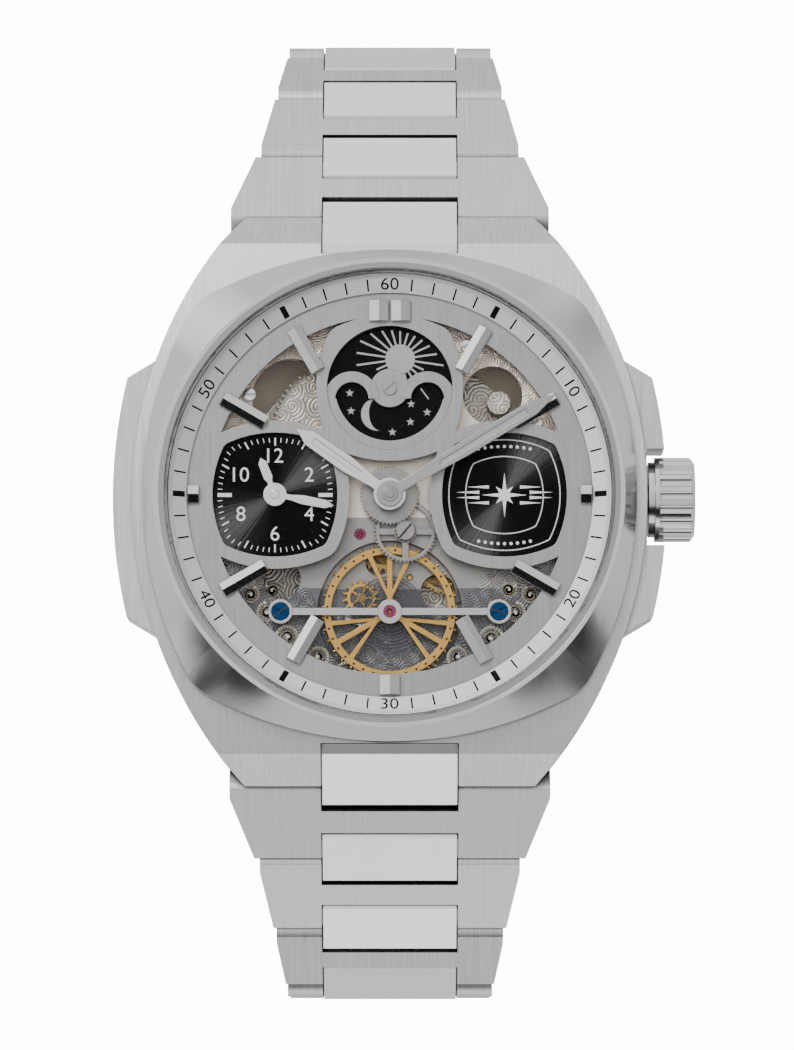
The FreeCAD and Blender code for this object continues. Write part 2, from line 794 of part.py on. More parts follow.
def train_spots():
    """The places of the arbors of the going train, from the tooth counts and modules."""
    centre = Vector(0, 0, 0)
    far = {
        "barrel": (c.barrel_teeth + c.centre_pinion_teeth) * c.barrel_module / 2,
        "third": (c.centre_teeth + c.third_pinion_teeth) * c.centre_module / 2,
        "fourth": (c.third_teeth + c.fourth_pinion_teeth) * c.third_module / 2,
        "escape": (c.fourth_teeth + c.escape_pinion_teeth) * c.fourth_module / 2,
    }
    spots = {"centre": centre, "barrel": beside(centre, far["barrel"].value, c.barrel_angle.value)}
    spots["third"] = beside(centre, far["third"].value, c.third_angle.value)
    spots["fourth"] = beside(spots["third"], far["fourth"].value, c.fourth_angle.value)
    spots["escape"] = beside(spots["fourth"], far["escape"].value, c.escape_angle.value)
    spots["balance"] = Vector(0, c.balance_y.value, 0)
    spots["pallet"] = pallet_spot(spots["escape"], spots["balance"])
    spots["motion"] = beside(centre, c.motion_distance.value, c.motion_angle.value)
    return spots


def pallet_spot(escape, balance):
    """The point at the two pallet distances from the escape wheel and the balance, nearer to 6."""
    near, far, span = c.pallet_to_escape.value, c.pallet_to_balance.value, (balance - escape).Length
    along = (near**2 - far**2 + span**2) / (2 * span)
    across = math.sqrt(near**2 - along**2)
    step = (balance - escape).normalize()
    return escape + step * along + Vector(step.y, -step.x, 0) * across


def direction(start, end):
    return math.degrees(math.atan2(end.y - start.y, end.x - start.x))


def count(cell):
    return int(round(cell.value))


def make_train(spots):
    to_third = direction(spots["centre"], spots["third"])
    to_fourth = direction(spots["third"], spots["fourth"])
    to_escape = direction(spots["fourth"], spots["escape"])
    to_centre = direction(spots["barrel"], spots["centre"])
    drum = [rod(5.15, 3.4, 4.6), rod(1.0, 4.6, 5.6), rod(1.0, 2.5, 3.4)]
    teeth = gear(count(c.barrel_teeth), c.barrel_module.value, to_centre, 3.4, 3.8)
    wheel_part("barrel", spots["barrel"], [teeth, *drum])
    leaf = 180 / c.centre_pinion_teeth.value
    wheel_part("centre_wheel", spots["centre"], [
        gear(count(c.centre_pinion_teeth), c.barrel_module.value, to_centre + 180 + leaf, 3.35, 4.6),
        gear(count(c.centre_teeth), c.centre_module.value, to_third, 4.75, 4.95, windows=5, hub=1.4),
        rod(0.9, 4.6, 4.75), rod(0.3, 2.5, 8.6),
    ])
    leaf = 180 / c.third_pinion_teeth.value
    wheel_part("third_wheel", spots["third"], [
        gear(count(c.third_pinion_teeth), c.centre_module.value, to_third + 180 + leaf, 4.6, 5.1),
        gear(count(c.third_teeth), c.third_module.value, to_fourth, 4.2, 4.4, windows=5),
        rod(0.5, 4.4, 4.6), rod(0.2, 2.5, 6.5),
    ])
    leaf = 180 / c.fourth_pinion_teeth.value
    wheel_part("fourth_wheel", spots["fourth"], [
        gear(count(c.fourth_pinion_teeth), c.third_module.value, to_fourth + 180 + leaf, 4.05, 4.5),
        gear(count(c.fourth_teeth), c.fourth_module.value, to_escape, 3.6, 3.8, windows=5),
        rod(0.4, 3.8, 4.05), rod(0.2, 2.5, 5.9),
    ])
    leaf = 180 / c.escape_pinion_teeth.value
    wheel_part("escape_wheel", spots["escape"], [
        gear(count(c.escape_pinion_teeth), c.fourth_module.value, to_escape + 180 + leaf, 3.5, 3.95),
        escape_rim(), rod(0.3, 3.95, 5.5), rod(0.18, 2.5, 6.3),
    ])


def escape_rim():
    """The escape wheel: club teeth that lean forward, on a rim with five arms."""
    teeth, tip, base = count(c.escape_teeth), 1.5, 1.12
    pitch = 360 / teeth
    points = []
    for n in range(teeth):
        at = n * pitch
        points += [polar(base, at), polar(base, at + 0.55 * pitch)]
        points += [polar(tip, at + 0.85 * pitch), polar(tip - 0.05, at + 1.0 * pitch)]
    windows = circle_face(0.85).cut(circle_face(0.36))
    arms = [
        Part.makePlane(2, 0.16, Vector(0, -0.08, 0)).rotate(Vector(0, 0, 0), Vector(0, 0, 1), 72 * n)
        for n in range(5)
    ]
    solid = polygon_face(points).cut(windows.cut(arms)).extrude(Vector(0, 0, 0.15))
    solid.translate(Vector(0, 0, 6.1))
    return solid


def make_pallet(spots):
    """The pallet fork, drawn with its lever along +X and turned to point at the balance."""
    to_balance = direction(spots["pallet"], spots["balance"])
    to_escape = direction(spots["pallet"], spots["escape"]) - to_balance
    lever = Part.makePlane(1.45, 0.22, Vector(0, -0.11, 0))
    prongs = [Part.makePlane(0.3, 0.12, Vector(1.4, y, 0)) for y in (-0.22, 0.1)]
    arms = []
    for side in (-1, 1):
        arm = Part.makePlane(1.45, 0.24, Vector(0, -0.12, 0))
        arms.append(arm.rotate(Vector(0, 0, 0), Vector(0, 0, 1), to_escape + side * 62))
    face = circle_face(0.42).fuse([lever, *prongs, *arms]).removeSplitter()
    solid = face.extrude(Vector(0, 0, 0.14))
    solid.translate(Vector(0, 0, 6.1))
    solid = fused([solid, rod(0.14, 5.7, 6.5)])
    solid.rotate(Vector(0, 0, 0), Vector(0, 0, 1), to_balance)
    solid.translate(spots["pallet"])
    sub_part("pallet_fork", feature(solid))


def make_balance(spots):
    radius, width, low, tall = c.balance_radius.value, c.balance_rim.value, c.balance_z.value, \
        c.balance_height.value
    rim = circle_face(radius).cut(circle_face(radius - width))
    pieces = [circle_face(0.75)]
    for n in range(3):
        turn = 90 + 120 * n
        arm = [Part.makePlane(radius - width - 0.2, 0.42, Vector(0.4, -0.21, 0))]
        for side in (-1, 1):
            leg = polygon_face([Vector(1.2, side * 0.2, 0), Vector(1.75, side * 0.2, 0),
                                Vector(4.75, side * 1.5, 0), Vector(4.6, side * 1.9, 0)])
            arm.append(leg)
        pieces += [p.rotate(Vector(0, 0, 0), Vector(0, 0, 1), turn) for p in arm]
    wheel = rim.fuse(pieces).removeSplitter().extrude(Vector(0, 0, tall))
    wheel.translate(Vector(0, 0, low))
    weights = []
    for n in range(36):
        weight = Part.makeCylinder(0.13, 0.34, Vector(radius - 0.15, 0, low + tall / 2), Vector(1, 0, 0))
        weights.append(weight.rotate(Vector(0, 0, 0), Vector(0, 0, 1), 10 * n + 5))
    staff = [rod(0.3, 6.35, 7.2), rod(0.15, 6.02, 7.7), rod(0.42, 6.32, 6.4)]
    solid = wheel.fuse([*weights, *staff]).removeSplitter()
    solid.translate(spots["balance"])
    sub_part("balance_wheel", feature(solid))


def make_hairspring(spots):
    """A flat spiral spring under the balance, from its collet to its outer stud."""
    turns, start, end = 9, 0.62, 3.0
    def edge_curve(shift):
        points = []
        for n in range(turns * 16 + 1):
            part = n / (turns * 16)
            points.append(polar(start + (end - start) * part + shift, 360 * turns * part))
        curve = Part.BSplineCurve()
        curve.interpolate(points)
        return curve.toShape()
    inner, outer = edge_curve(-0.04), edge_curve(0.04)
    caps = [Part.makeLine(inner.valueAt(t), outer.valueAt(u)) for t, u in (
        (inner.FirstParameter, outer.FirstParameter), (inner.LastParameter, outer.LastParameter))]
    face = Part.Face(Part.Wire([inner, caps[1], outer, caps[0]]))
    spring = face.extrude(Vector(0, 0, 0.12))
    collet = circle_face(0.6).cut(circle_face(0.32)).extrude(Vector(0, 0, 0.12))
    spring = spring.fuse(collet)
    spring.translate(Vector(0, spots["balance"].y, 6.5))
    sub_part("hairspring", feature(spring))


def make_motion_works(spots):
    """The cannon pinion with its hand, the minute wheel and the hour wheel with its hand."""
    cannon, wheel = count(c.cannon_teeth), count(c.minute_teeth)
    pinion, hour_wheel = count(c.minute_pinion_teeth), count(c.hour_teeth)
    fast = c.motion_distance.value * 2 / (cannon + wheel)
    slow = c.motion_distance.value * 2 / (pinion + hour_wheel)
    there = c.motion_angle.value
    wheel_part("minute_wheel", spots["motion"], [
        gear(wheel, fast, there + 180 + 180 / wheel, 7.2, 7.45, windows=4, hub=0.9),
        gear(pinion, slow, there + 180 + 180 / pinion, 7.45, 7.95), rod(0.2, 6.5, 8.05),
    ])
    hand_z, thick = c.minute_hand_z.value, c.hand_thickness.value
    minute = hand_solid(c.minute_length.value, 0.62, 1.0, hand_z, thick)
    minute.rotate(Vector(0, 0, 0), Vector(0, 0, 1), -c.minute_hand_angle.value)
    pipe = rod(0.62, 7.5, hand_z + thick + 0.1).fuse(gear(cannon, fast, there, 7.1, 7.55))
    pipe = pipe.fuse(rod(0.36, hand_z + thick, hand_z + thick + 0.2))
    minute = minute.fuse(pipe).cut(rod(0.34, 6, 8.7)).removeSplitter()
    sub_part("minute_hand", feature(minute))
    hand_z = c.hour_hand_z.value
    hour = hand_solid(c.hour_length.value, 0.66, 1.25, hand_z, thick)
    hour.rotate(Vector(0, 0, 0), Vector(0, 0, 1), -c.hour_hand_angle.value)
    pipe = rod(0.95, 7.9, hand_z + thick).fuse(gear(hour_wheel, slow, there, 7.65, 7.9))
    hour = hour.fuse(pipe).cut(rod(0.66, 6, 12)).removeSplitter()
    sub_part("hour_hand", feature(hour))


def hand_solid(length, half_width, hub, low, thick, channel=True):
    """A sword hand along +Y with a round hub, a narrow neck and a sunk channel."""
    neck = half_width * 0.6
    outline = [
        (-neck, hub * 0.6), (neck, hub * 0.6), (neck, hub + 0.35), (half_width, length * 0.46),
        (half_width * 0.92, length * 0.86), (0, length), (-half_width * 0.92, length * 0.86),
        (-half_width, length * 0.46), (-neck, hub + 0.35),
    ]
    solid = polygon_face([Vector(x, y, low) for x, y in outline]).extrude(Vector(0, 0, thick))
    solid = solid.fuse(rod(hub, low, low + thick)).removeSplitter()
    if channel:
        groove = [(-0.16, length * 0.3), (0.16, length * 0.3), (0.24, length * 0.82), (-0.24, length * 0.82)]
        cutter = polygon_face([Vector(x, y, low + thick * 0.6) for x, y in groove])
        solid = solid.cut(cutter.extrude(Vector(0, 0, 1)))
    return solid


def make_small_hands():
    """The two hands of the second time zone, each with its own post."""
    for name, length, low, hub, angle, post in (
        ("dual_hour_hand", c.dual_hour_length, 8.5, 0.8, c.dual_hour_angle, (8.02, 0.42, 0.27)),
        ("dual_minute_hand", c.dual_minute_length, 8.72, 0.9, c.dual_minute_angle, (7.6, 0.22, 0)),
    ):
        thick = 0.13
        hand = hand_solid(length.value, 0.36, hub, low, thick, channel=False)
        hand.rotate(Vector(0, 0, 0), Vector(0, 0, 1), -angle.value)
        foot, outer, bore = post
        solid = hand.fuse(rod(outer, foot, low + thick)).removeSplitter()
        if bore:
            solid = solid.cut(rod(bore, 6, 12))
        else:
            solid = solid.fuse(rod(0.33, low + thick, low + thick + 0.08)).removeSplitter()
        solid.translate(Vector(-c.sub_x.value, 0, 0))
        sub_part(name, feature(solid))


def make_moon_disc():
    disc = cylinder(c.moon_disc_radius, 8.05, 8.3, y=c.moon_y)
    hub = cylinder(0.5, 7.3, 8.05, y=c.moon_y)
    sub_part("sun_moon_disc", fuse(disc, hub))


# ---------------------------------------------------------------- movement frame
def make_main_plate(spots):
    low, high = c.plate_z, c.plate_top_z
    plate = cylinder(c.plate_radius, low, high)
    cuts = [
        cylinder(c.well_radius, c.well_floor_z, 9, y=c.balance_y),
        cylinder(1.35, 5, 9, 3.75, -7.3),
        cylinder(0.95, 5, 9, -0.9, -5.1),
        cylinder(3.1, 5, 9, -7.6, 7.7),
        cylinder(2.3, 5, 9, 8.0, 7.9),
        cylinder(1.5, 5, 9, -8.4, -6.4),
        box((10.2, 15.5), (-1.5, 1.5), (5, 5.95)),
        cylinder(0.36, 5, 9),
        cylinder(1.1, 5, 5.65, spots["barrel"].x, spots["barrel"].y),
        cylinder(0.25, 5, 9, spots["third"].x, spots["third"].y),
        cylinder(0.25, 5, 9, spots["fourth"].x, spots["fourth"].y),
        cylinder(0.36, 5, 9, spots["escape"].x, spots["escape"].y),
        cylinder(0.17, 5, 9, spots["pallet"].x, spots["pallet"].y),
        cylinder(0.23, 6.4, 9, spots["motion"].x, spots["motion"].y),
    ]
    cuts += [cylinder(0.45, 6.5, 9, x, y) for x, y in PLATE_JEWELS]
    cuts += [cylinder(0.5, 6.3, 9, x, y) for x, y in PLATE_SCREWS]
    cuts += [cylinder(0.4, 6.2, 9, s * c.cock_screw_x, c.balance_y) for s in (-1, 1)]
    sub_part("main_plate", cut(plate, *cuts))


PLATE_JEWELS = ((-2.3, -2.9), (4.3, -2.0), (-5.6, 3.4), (9.6, 5.2))
PLATE_SCREWS = ((-10.9, 8.0), (11.4, 5.9), (-12.1, -6.6), (12.1, -6.6), (6.0, 11.8), (-11.8, 4.6))
PILLARS = ((8.5, 7.5), (-10.8, -3.0), (7.0, -9.0))


def make_bridge(spots):
    low, high = c.bridge_z, c.bridge_top_z
    plate = fuse(cylinder(c.bridge_radius, low, high),
                 *[cylinder(0.9, high - 0.1, c.plate_z, x, y) for x, y in PILLARS])
    holes = [cylinder(0.34, 2, 3.4), cylinder(1.05, 2, 3.4, spots["barrel"].x, spots["barrel"].y)]
    for name in ("third", "fourth", "escape"):
        holes.append(cylinder(0.24, 2, 3.4, spots[name].x, spots[name].y))
    low = c.rotor_z
    bearing = fuse(cylinder(1.15, low, c.bridge_z),
                   cylinder(1.7, low + c.rotor_thickness + 0.06, c.bridge_z))
    bearing = cut(bearing, cylinder(0.34, 1, 4))
    sub_part("train_bridge", group(cut(plate, *holes), bearing))


def make_cock():
    """The balance bridge: a slim bar between two ringed feet, with a jewel over the balance."""
    low, high, y = c.cock_z, c.cock_z + c.cock_height, c.balance_y
    bar = box((-c.cock_screw_x, c.cock_screw_x), (y - 0.28, y + 0.28), (low, high))
    feet = [cylinder(0.95, c.plate_top_z, high + 0.05, s * c.cock_screw_x, y) for s in (-1, 1)]
    boss = cylinder(0.95, low, high + 0.05, 0, y)
    solid = fuse(bar, *feet, boss)
    holes = [cylinder(0.4, 6, 9, s * c.cock_screw_x, y) for s in (-1, 1)]
    sinks = [cylinder(0.72, high - 0.15, 9, s * c.cock_screw_x, y) for s in (-1, 1)]
    sub_part("balance_bridge", cut(solid, *holes, *sinks, cylinder(0.5, 7, 9, 0, y)))


def jewel(x, y, radius, low, high, bore=0.0):
    stone = Part.makeCylinder(radius, high - low, Vector(x, y, low))
    stone = stone.cut(Part.makeSphere(radius * 0.62, Vector(x, y, high + radius * 0.35)))
    if bore:
        stone = stone.cut(Part.makeCylinder(bore, 1.2, Vector(x, y, low - 0.6)))
    return stone


def make_jewels_and_screws():
    high = (c.cock_z + c.cock_height).value + 0.05
    y = c.balance_y.value
    stones = [jewel(0, y, 0.5, c.cock_z.value, high, bore=0.17)]
    stones += [jewel(x, py, 0.45, 6.5, c.plate_top_z.value) for x, py in PLATE_JEWELS]
    sub_part("jewels", feature(Part.makeCompound(stones)))
    screws = [
        slotted_screw(s * c.cock_screw_x.value, y, high, 0.7, 0.2, 0.38, 1.4, 25 * s) for s in (-1, 1)
    ]
    sub_part("balance_bridge_screws", feature(Part.makeCompound(screws)))
    top = c.plate_top_z.value + 0.12
    screws = [slotted_screw(x, py, top, 0.48, 0.3, 0.45, 0.38, 50 * n) for n, (x, py) in
              enumerate(PLATE_SCREWS)]
    sub_part("movement_screws", feature(Part.makeCompound(screws)))


def make_ring():
    """The spacer between movement and case, pierced for the stem."""
    ring = cut(cylinder(c.bore_radius - 0.05, 2.0, c.dial_z), cylinder(c.plate_radius, 0, 9))
    sub_part("movement_ring", cut(ring, cylinder_x(c.stem_radius + 0.1, 14, 20, 0, c.crown_z)))


def make_rotor():
    radius, low, thick = c.rotor_radius, c.rotor_z, c.rotor_thickness
    half = box((-16, 16), (-16, 0.0), (0, 4))
    weight = cut(cylinder(radius, low, low + thick), cylinder(radius - 2.6, 0, 4))
    windows = [cylinder(9.0, 0, 4, x, -3) for x in (-5.2, 5.2)]
    web = cut(cylinder(radius - 2.4, low, low + 0.3), *windows)
    fan = common(fuse(weight, web), half)
    arm = box((-1.6, 1.6), (-12.4, 0), (low, low + 0.3))
    hub = cylinder(2.0, low, low + thick)
    sub_part("rotor", cut(fuse(fan, arm, hub), cylinder(1.2, 0, 4)))


# ---------------------------------------------------------------- bracelet
def link_place(item, side, spot, tilt):
    """Moves a piece drawn from its pin outwards to its place in the closed loop."""
    y, z = spot
    item.Placement = Placement(Vector(0, y.value, z.value), Rotation(Vector(-side, 0, 0), tilt.value))
    item.setExpression("Placement.Base.y", y.text)
    item.setExpression("Placement.Base.z", z.text)
    item.setExpression("Placement.Rotation.Angle", tilt.text)


def chain_spots(side):
    """The pins of one half of the bracelet, from the case outwards."""
    y, z = c.lug_pin_y * side, c.lug_pin_z
    spots = [(y, z)]
    for n in range(1, len(LINK_ANGLES) + 1):
        tilt = getattr(c, f"link_angle_{n}")
        y = y + c.pitch * side * cosine(tilt)
        z = z - c.pitch * sine(tilt)
        spots.append((y, z))
    return spots


def pin_hole(body, y, radius, half_length):
    outline = sketch(body, "YZ")
    draw_circle(outline, y, 0, radius)
    pocket(body, outline, half_length * 2, both_ways=True)


def make_h_link(side, start_half, end_half):
    """An H-shaped outer link: two bars and a crossbar, with its nose round the first pin."""
    half, edge, pitch = c.link_half_thickness, c.link_edge, c.pitch
    body = new_body("h_link")
    profile = sketch(body, "YZ")
    nose = -c.nose_radius
    far = pitch - root(c.recess_radius * c.recess_radius - half * half)
    draw_outline(profile, [(side * y, z) for y, z in (
        (nose, -half), (nose, half), (far - edge, half), (far, half - edge), (far, -half))])
    pad(body, profile, start_half * 2, both_ways=True)
    blank = common(body, fuse(cylinder_x(c.nose_radius, -15, 15),
                              box((-15, 15), (0, 9) if side > 0 else (-9, 0), (-2, 2))))
    recess = cylinder_x(c.recess_radius, -15, 15, pitch * side)
    taper = new_body("taper")
    outline = sketch(taper, "XY", -2)
    draw_outline(outline, [(-start_half, -2 * side), (start_half, -2 * side),
                           (start_half - 0.01, 0), (end_half, pitch * side), (end_half, 8 * side),
                           (-end_half, 8 * side), (-end_half, pitch * side), (0.01 - start_half, 0)])
    pad(taper, outline, 4)
    slot = c.centre_half_width + c.slot_gap
    near = (-3, c.crossbar_start) if side > 0 else (-c.crossbar_start, 3)
    past = (c.crossbar_end, 9) if side > 0 else (-9, -c.crossbar_end)
    slots = [box((-slot, slot), near, (-2, 2)), box((-slot, slot), past, (-2, 2))]
    reach = end_half - 0.7
    holes = [cylinder_x(c.pin_radius, -reach, reach, y * side) for y in (dim(0), c.second_pin)]
    return cut(common(blank, taper), recess, *slots, *holes)


def make_centre_link(side):
    """A polished centre link, fixed on the second pin and free on the next link's first pin."""
    half, edge = c.link_half_thickness, c.link_edge
    far, relief = c.pitch + c.centre_over, c.pitch + c.centre_relief
    body = new_body("centre_link")
    profile = sketch(body, "YZ")
    draw_outline(profile, [(side * y, z) for y, z in (
        (c.centre_start, edge - half), (c.centre_start, half - edge), (c.centre_start + edge, half),
        (far - edge, half), (far, half - edge), (far, dim(-0.3)), (relief, -half),
        (c.centre_start + edge, -half))])
    pad(body, profile, c.centre_half_width * 2, both_ways=True)
    pin_hole(body, c.second_pin * side, c.pin_radius, c.centre_half_width)
    pin_hole(body, c.pitch * side, c.pin_radius + c.pin_play, c.centre_half_width)
    return body


def make_chain(side, hour):
    spots = chain_spots(side)
    for n in range(1, len(LINK_ANGLES) + 1):
        start, end = getattr(c, f"seam_half_{n - 1}"), getattr(c, f"seam_half_{n}")
        reach = end - 0.7
        pins = [cylinder_x(c.pin_radius, -reach, reach, y * side) for y in (dim(0), c.second_pin)]
        link = group(make_h_link(side, start, end), make_centre_link(side), *pins)
        link_place(link, side, spots[n - 1], getattr(c, f"link_angle_{n}"))
        sub_part(f"link_{hour}_{n}", link)


def make_end_links():
    """The two centre links that join the case to the first outer links."""
    pieces = []
    down, out = sine(c.flat_tilt), cosine(c.flat_tilt)
    for side in (1, -1):
        y, z = c.lug_pin_y, c.lug_pin_z
        edge, inner, over = c.link_edge, c.bezel_half + 0.05, c.centre_over
        foot = (y + over * out - 0.35 * down, z - over * down - 0.35 * out)
        top = (y + over * out + 1.25 * down, z - over * down + 1.25 * out)
        body = new_body("end_link")
        profile = sketch(body, "YZ")
        draw_outline(profile, [(side * py, pz) for py, pz in (
            (inner, c.case_bottom_z + 0.2), (inner, c.lug_end_z + 2.2), (c.lug_crest_y, c.lug_end_z + 2.0),
            (top[0] - edge * 1.4, top[1] + edge), top, foot, (y + 0.1, z - c.link_half_thickness))])
        pad(body, profile, c.centre_half_width * 2, both_ways=True)
        pieces.append(cut(body, cylinder_x(c.pin_radius + c.pin_play, -9, 9, y * side, z)))
    sub_part("case_end_links", group(*pieces))


# ---------------------------------------------------------------- clasp
def make_cover():
    """The clasp cover: drawn along +Y from the last pin of the 12 side, as a channel with side walls."""
    half, wall, width, length = c.link_half_thickness, c.clasp_wall, c.clasp_half_width, c.clasp_length
    body = new_body("cover")
    profile = sketch(body, "YZ")
    top = half
    draw_outline(profile, [(-1.6, -half), (-1.6, top), (4, top + 0.35), (length * 0.5, top + 0.9),
                           (length - 4, top + 0.35), (length, top - 0.1), (length, -half)])
    pad(body, profile, width * 2, both_ways=True)
    nose = fuse(cylinder_x(c.nose_radius, -15, 15), box((-15, 15), (0, 50), (-4, 4)))
    solid = common(body, nose)
    slot = c.centre_half_width + c.slot_gap
    inner = width - wall
    solid = cut(solid, box((-slot, slot), (-3, c.crossbar_start), (-4, 4)),
                box((-inner, inner), (c.crossbar_end, length - 3.0), (-4, top - wall)),
                box((-slot, slot), (length - 2.1, length + 1), (-4, 4)))
    openings = [box((inner - 1, width + 1) if s > 0 else (-width - 1, 1 - inner),
                    (length * 0.5 - c.button_half, length * 0.5 + c.button_half), (-0.9, 0.25))
                for s in (-1, 1)]
    solid = cut(solid, *openings, cylinder_x(c.pin_radius, -width + 0.7, width - 0.7, 0, 0),
                cylinder_x(c.blade_pin_radius, -width + 0.5, width - 0.5, length - 4.5, -0.4))
    pins = [cylinder_x(c.pin_radius, -width + 0.7, width - 0.7, 0, 0),
            cylinder_x(c.blade_pin_radius, -width + 0.5, width - 0.5, length - 4.5, -0.4)]
    return group(solid, *pins)


def blade(length, low, high, half, knuckle_z, knuckle_ends):
    """A clasp blade along -Y from its hinge at y = 0, with knuckles at the given y places."""
    body = new_body("blade")
    outline = sketch(body, "XY", low)
    tip = half - 0.8
    draw_outline(outline, [(-half, 0), (half, 0), (half, 4 - length), (tip, -length), (-tip, -length),
                           (-half, 4 - length)])
    draw_outline(outline, [(half - 2.4, -6), (2.4 - half, -6), (2.4 - half, 9 - length),
                           (half - 2.4, 9 - length)])
    pad(body, outline, dim(high) - low)
    knuckles = [cylinder_x(0.7, -half, half, y, z) for y, z in zip(knuckle_ends, knuckle_z)]
    return fuse(body, *knuckles)


def make_clasp():
    spots = chain_spots(1)
    y, z = spots[-1]
    tilt = dim(180)
    cover = make_cover()
    link_place(cover, 1, (y, z), tilt)
    sub_part("clasp_cover", cover)
    length = c.clasp_length
    hinge_y, hinge_z = length - 4.5, dim(-0.4)
    span = length - 4.5 - 6.0
    first = blade(span, -0.85, 0.05 - c.blade_gap, c.blade_half_width, (0, 0), (0, -span + 0.8))
    first = cut(first, cylinder_x(c.blade_pin_radius + c.pin_play, -9, 9, 0, 0),
                cylinder_x(c.blade_pin_radius, -9, 9, -span + 0.8, 0),
                box((-c.blade_half_width + 1.5, c.blade_half_width - 1.5), (-span - 1, -span + 2.2), (-2, 2)))
    first_pin = cylinder_x(c.blade_pin_radius, -c.blade_half_width + 0.01, c.blade_half_width - 0.01,
                           -span + 0.8, 0)
    place_on_cover(group(first, first_pin), (y, z), hinge_y, hinge_z, "clasp_blade_1")
    second = make_second_blade(span)
    place_on_cover(second, (y, z), hinge_y - span + 0.8, hinge_z, "clasp_blade_2")
    for name, s in (("clasp_button_left", -1), ("clasp_button_right", 1)):
        place_on_cover(make_button(s), (y, z), length * 0.5, dim(0), name)


def place_on_cover(item, spot, along, up, name):
    """The cover lies upside down under the wrist, so its own Y and Z are both reversed."""
    y, z = spot[0] - along, spot[1] - up
    link_place(item, 1, (y, z), dim(180))
    sub_part(name, item)


def make_second_blade(span):
    """The inner blade, hinged at the far end of the first; its free end carries the 6 o'clock half."""
    half = c.blade_half_width - 1.6
    length = span - 1.2
    body = new_body("second_blade")
    outline = sketch(body, "XY", -1.9)
    draw_outline(outline, [(-half, 0), (half, 0), (half, length), (-half, length)])
    pad(body, outline, 0.85)
    knuckle = fuse(cylinder_x(0.68, -half, half, 0, 0), box((-half, half), (-0.68, 0.68), (-1.9, 0)))
    hole = cylinder_x(c.blade_pin_radius + c.pin_play, -9, 9, 0, 0)
    return cut(fuse(body, knuckle), hole)


def make_button(s):
    width = c.clasp_half_width
    inner = width - c.clasp_wall - 0.6
    x = (inner, width + 0.6) if s > 0 else (-width - 0.6, -inner)
    half = c.button_half - 0.06
    flange_x = (inner - 0.4, inner + 0.1) if s > 0 else (-inner - 0.1, 0.4 - inner)
    return fuse(box(x, (-half, half), (-0.84, 0.19)), box(flange_x, (-2.2, 2.2), (-0.84, 0.19)))


# ---------------------------------------------------------------- the watch
def make_watch():
    spots = train_spots()
    make_case()
    make_bezel()
    make_crystals()
    make_case_back()
    make_back_screws()
    make_crown()
    make_stem()
    make_clutch()
    make_dial()
    make_sub_dials()
    make_flange()
    make_markers()
    make_moon_bridge()
    make_moon_disc()
    make_main_plate(spots)
    make_bridge(spots)
    make_cock()
    make_jewels_and_screws()
    make_ring()
    make_rotor()
    make_train(spots)
    make_pallet(spots)
    make_balance(spots)
    make_hairspring(spots)
    make_motion_works(spots)
    make_small_hands()
    make_end_links()
    make_chain(1, 12)
    make_chain(-1, 6)
    make_clasp()


def check_and_write():
    doc.recompute()
    for item in doc.Objects:
        if any(word in item.State for word in ("Invalid", "Error")):
            raise RuntimeError(f"{item.Label} did not recompute: {item.State}")
    os.makedirs("parts", exist_ok=True)
    for item in sub_parts:
        shape = item.Shape
        if shape.isNull() or not shape.isValid() or not shape.Solids:
            raise RuntimeError(f"{item.Label} has no valid solid")
        shape.exportStep(f"parts/{item.Label}.step")


make_watch()
check_and_write()
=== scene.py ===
"""The looks of the skeleton wristwatch: materials, printing, engraving, camera, lights and floor.

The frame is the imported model, in metres. This script gives each of its nodes a material, and adds what is
printed or applied on them as thin pieces. Coordinates are in millimetres wherever MM turns them to metres.
"""

import math

import bpy
from mathutils import Matrix, Vector


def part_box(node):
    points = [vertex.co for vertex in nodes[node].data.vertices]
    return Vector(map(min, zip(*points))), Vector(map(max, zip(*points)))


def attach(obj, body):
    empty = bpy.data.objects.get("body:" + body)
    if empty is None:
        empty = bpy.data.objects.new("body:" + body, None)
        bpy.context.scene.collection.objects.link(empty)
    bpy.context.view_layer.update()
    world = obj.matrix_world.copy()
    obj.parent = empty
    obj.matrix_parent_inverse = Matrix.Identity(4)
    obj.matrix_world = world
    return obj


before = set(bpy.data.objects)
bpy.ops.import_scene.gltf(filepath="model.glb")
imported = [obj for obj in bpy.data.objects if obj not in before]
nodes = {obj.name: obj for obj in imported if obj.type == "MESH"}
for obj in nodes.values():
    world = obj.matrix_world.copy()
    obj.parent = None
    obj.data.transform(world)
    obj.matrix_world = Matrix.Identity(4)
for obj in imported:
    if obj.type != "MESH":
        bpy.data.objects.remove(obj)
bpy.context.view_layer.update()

MM = 0.001
DIAL = 8.8  # top of the dial ring, in millimetres above the case back
FLANGE_IN, FLANGE_OUT = (15.7, 9.05), (16.85, 9.85)  # radius and height of the minute track's two edges
DUAL_X, EMBLEM_X = -8.87, 8.87
SUB_TOP = 8.4
MOON_Y, MOON_TOP = 8.3, 8.3
WELL_FLOOR = 6.0  # bottom of the balance's well in the main plate
TRACK_RADIUS = 16.28  # middle of the minute track
DUAL_NUMBERS = 3.05  # how far the second time zone's numbers are from its centre
WINDOW_RADIUS = 4.55  # the sun and moon disc's visible radius
WELL_DEPTH, WELL_REACH = 5.5, 16  # faces lower and nearer the centre than this show through the movement
CENTRE_LINK_REACH = 5.3  # a solid of a link that reaches no further sideways is its centre link
PRINT_LIFT = 0.012  # thickness of what is printed
FLOOR_LEVEL = -38.5
COLOUR_A, COLOUR_B, COLOUR_RESULT = 6, 7, 2  # sockets of a Mix node that mixes colours
FLOAT_A, FLOAT_B, FLOAT_RESULT = 2, 3, 0  # sockets of a Mix node that mixes numbers


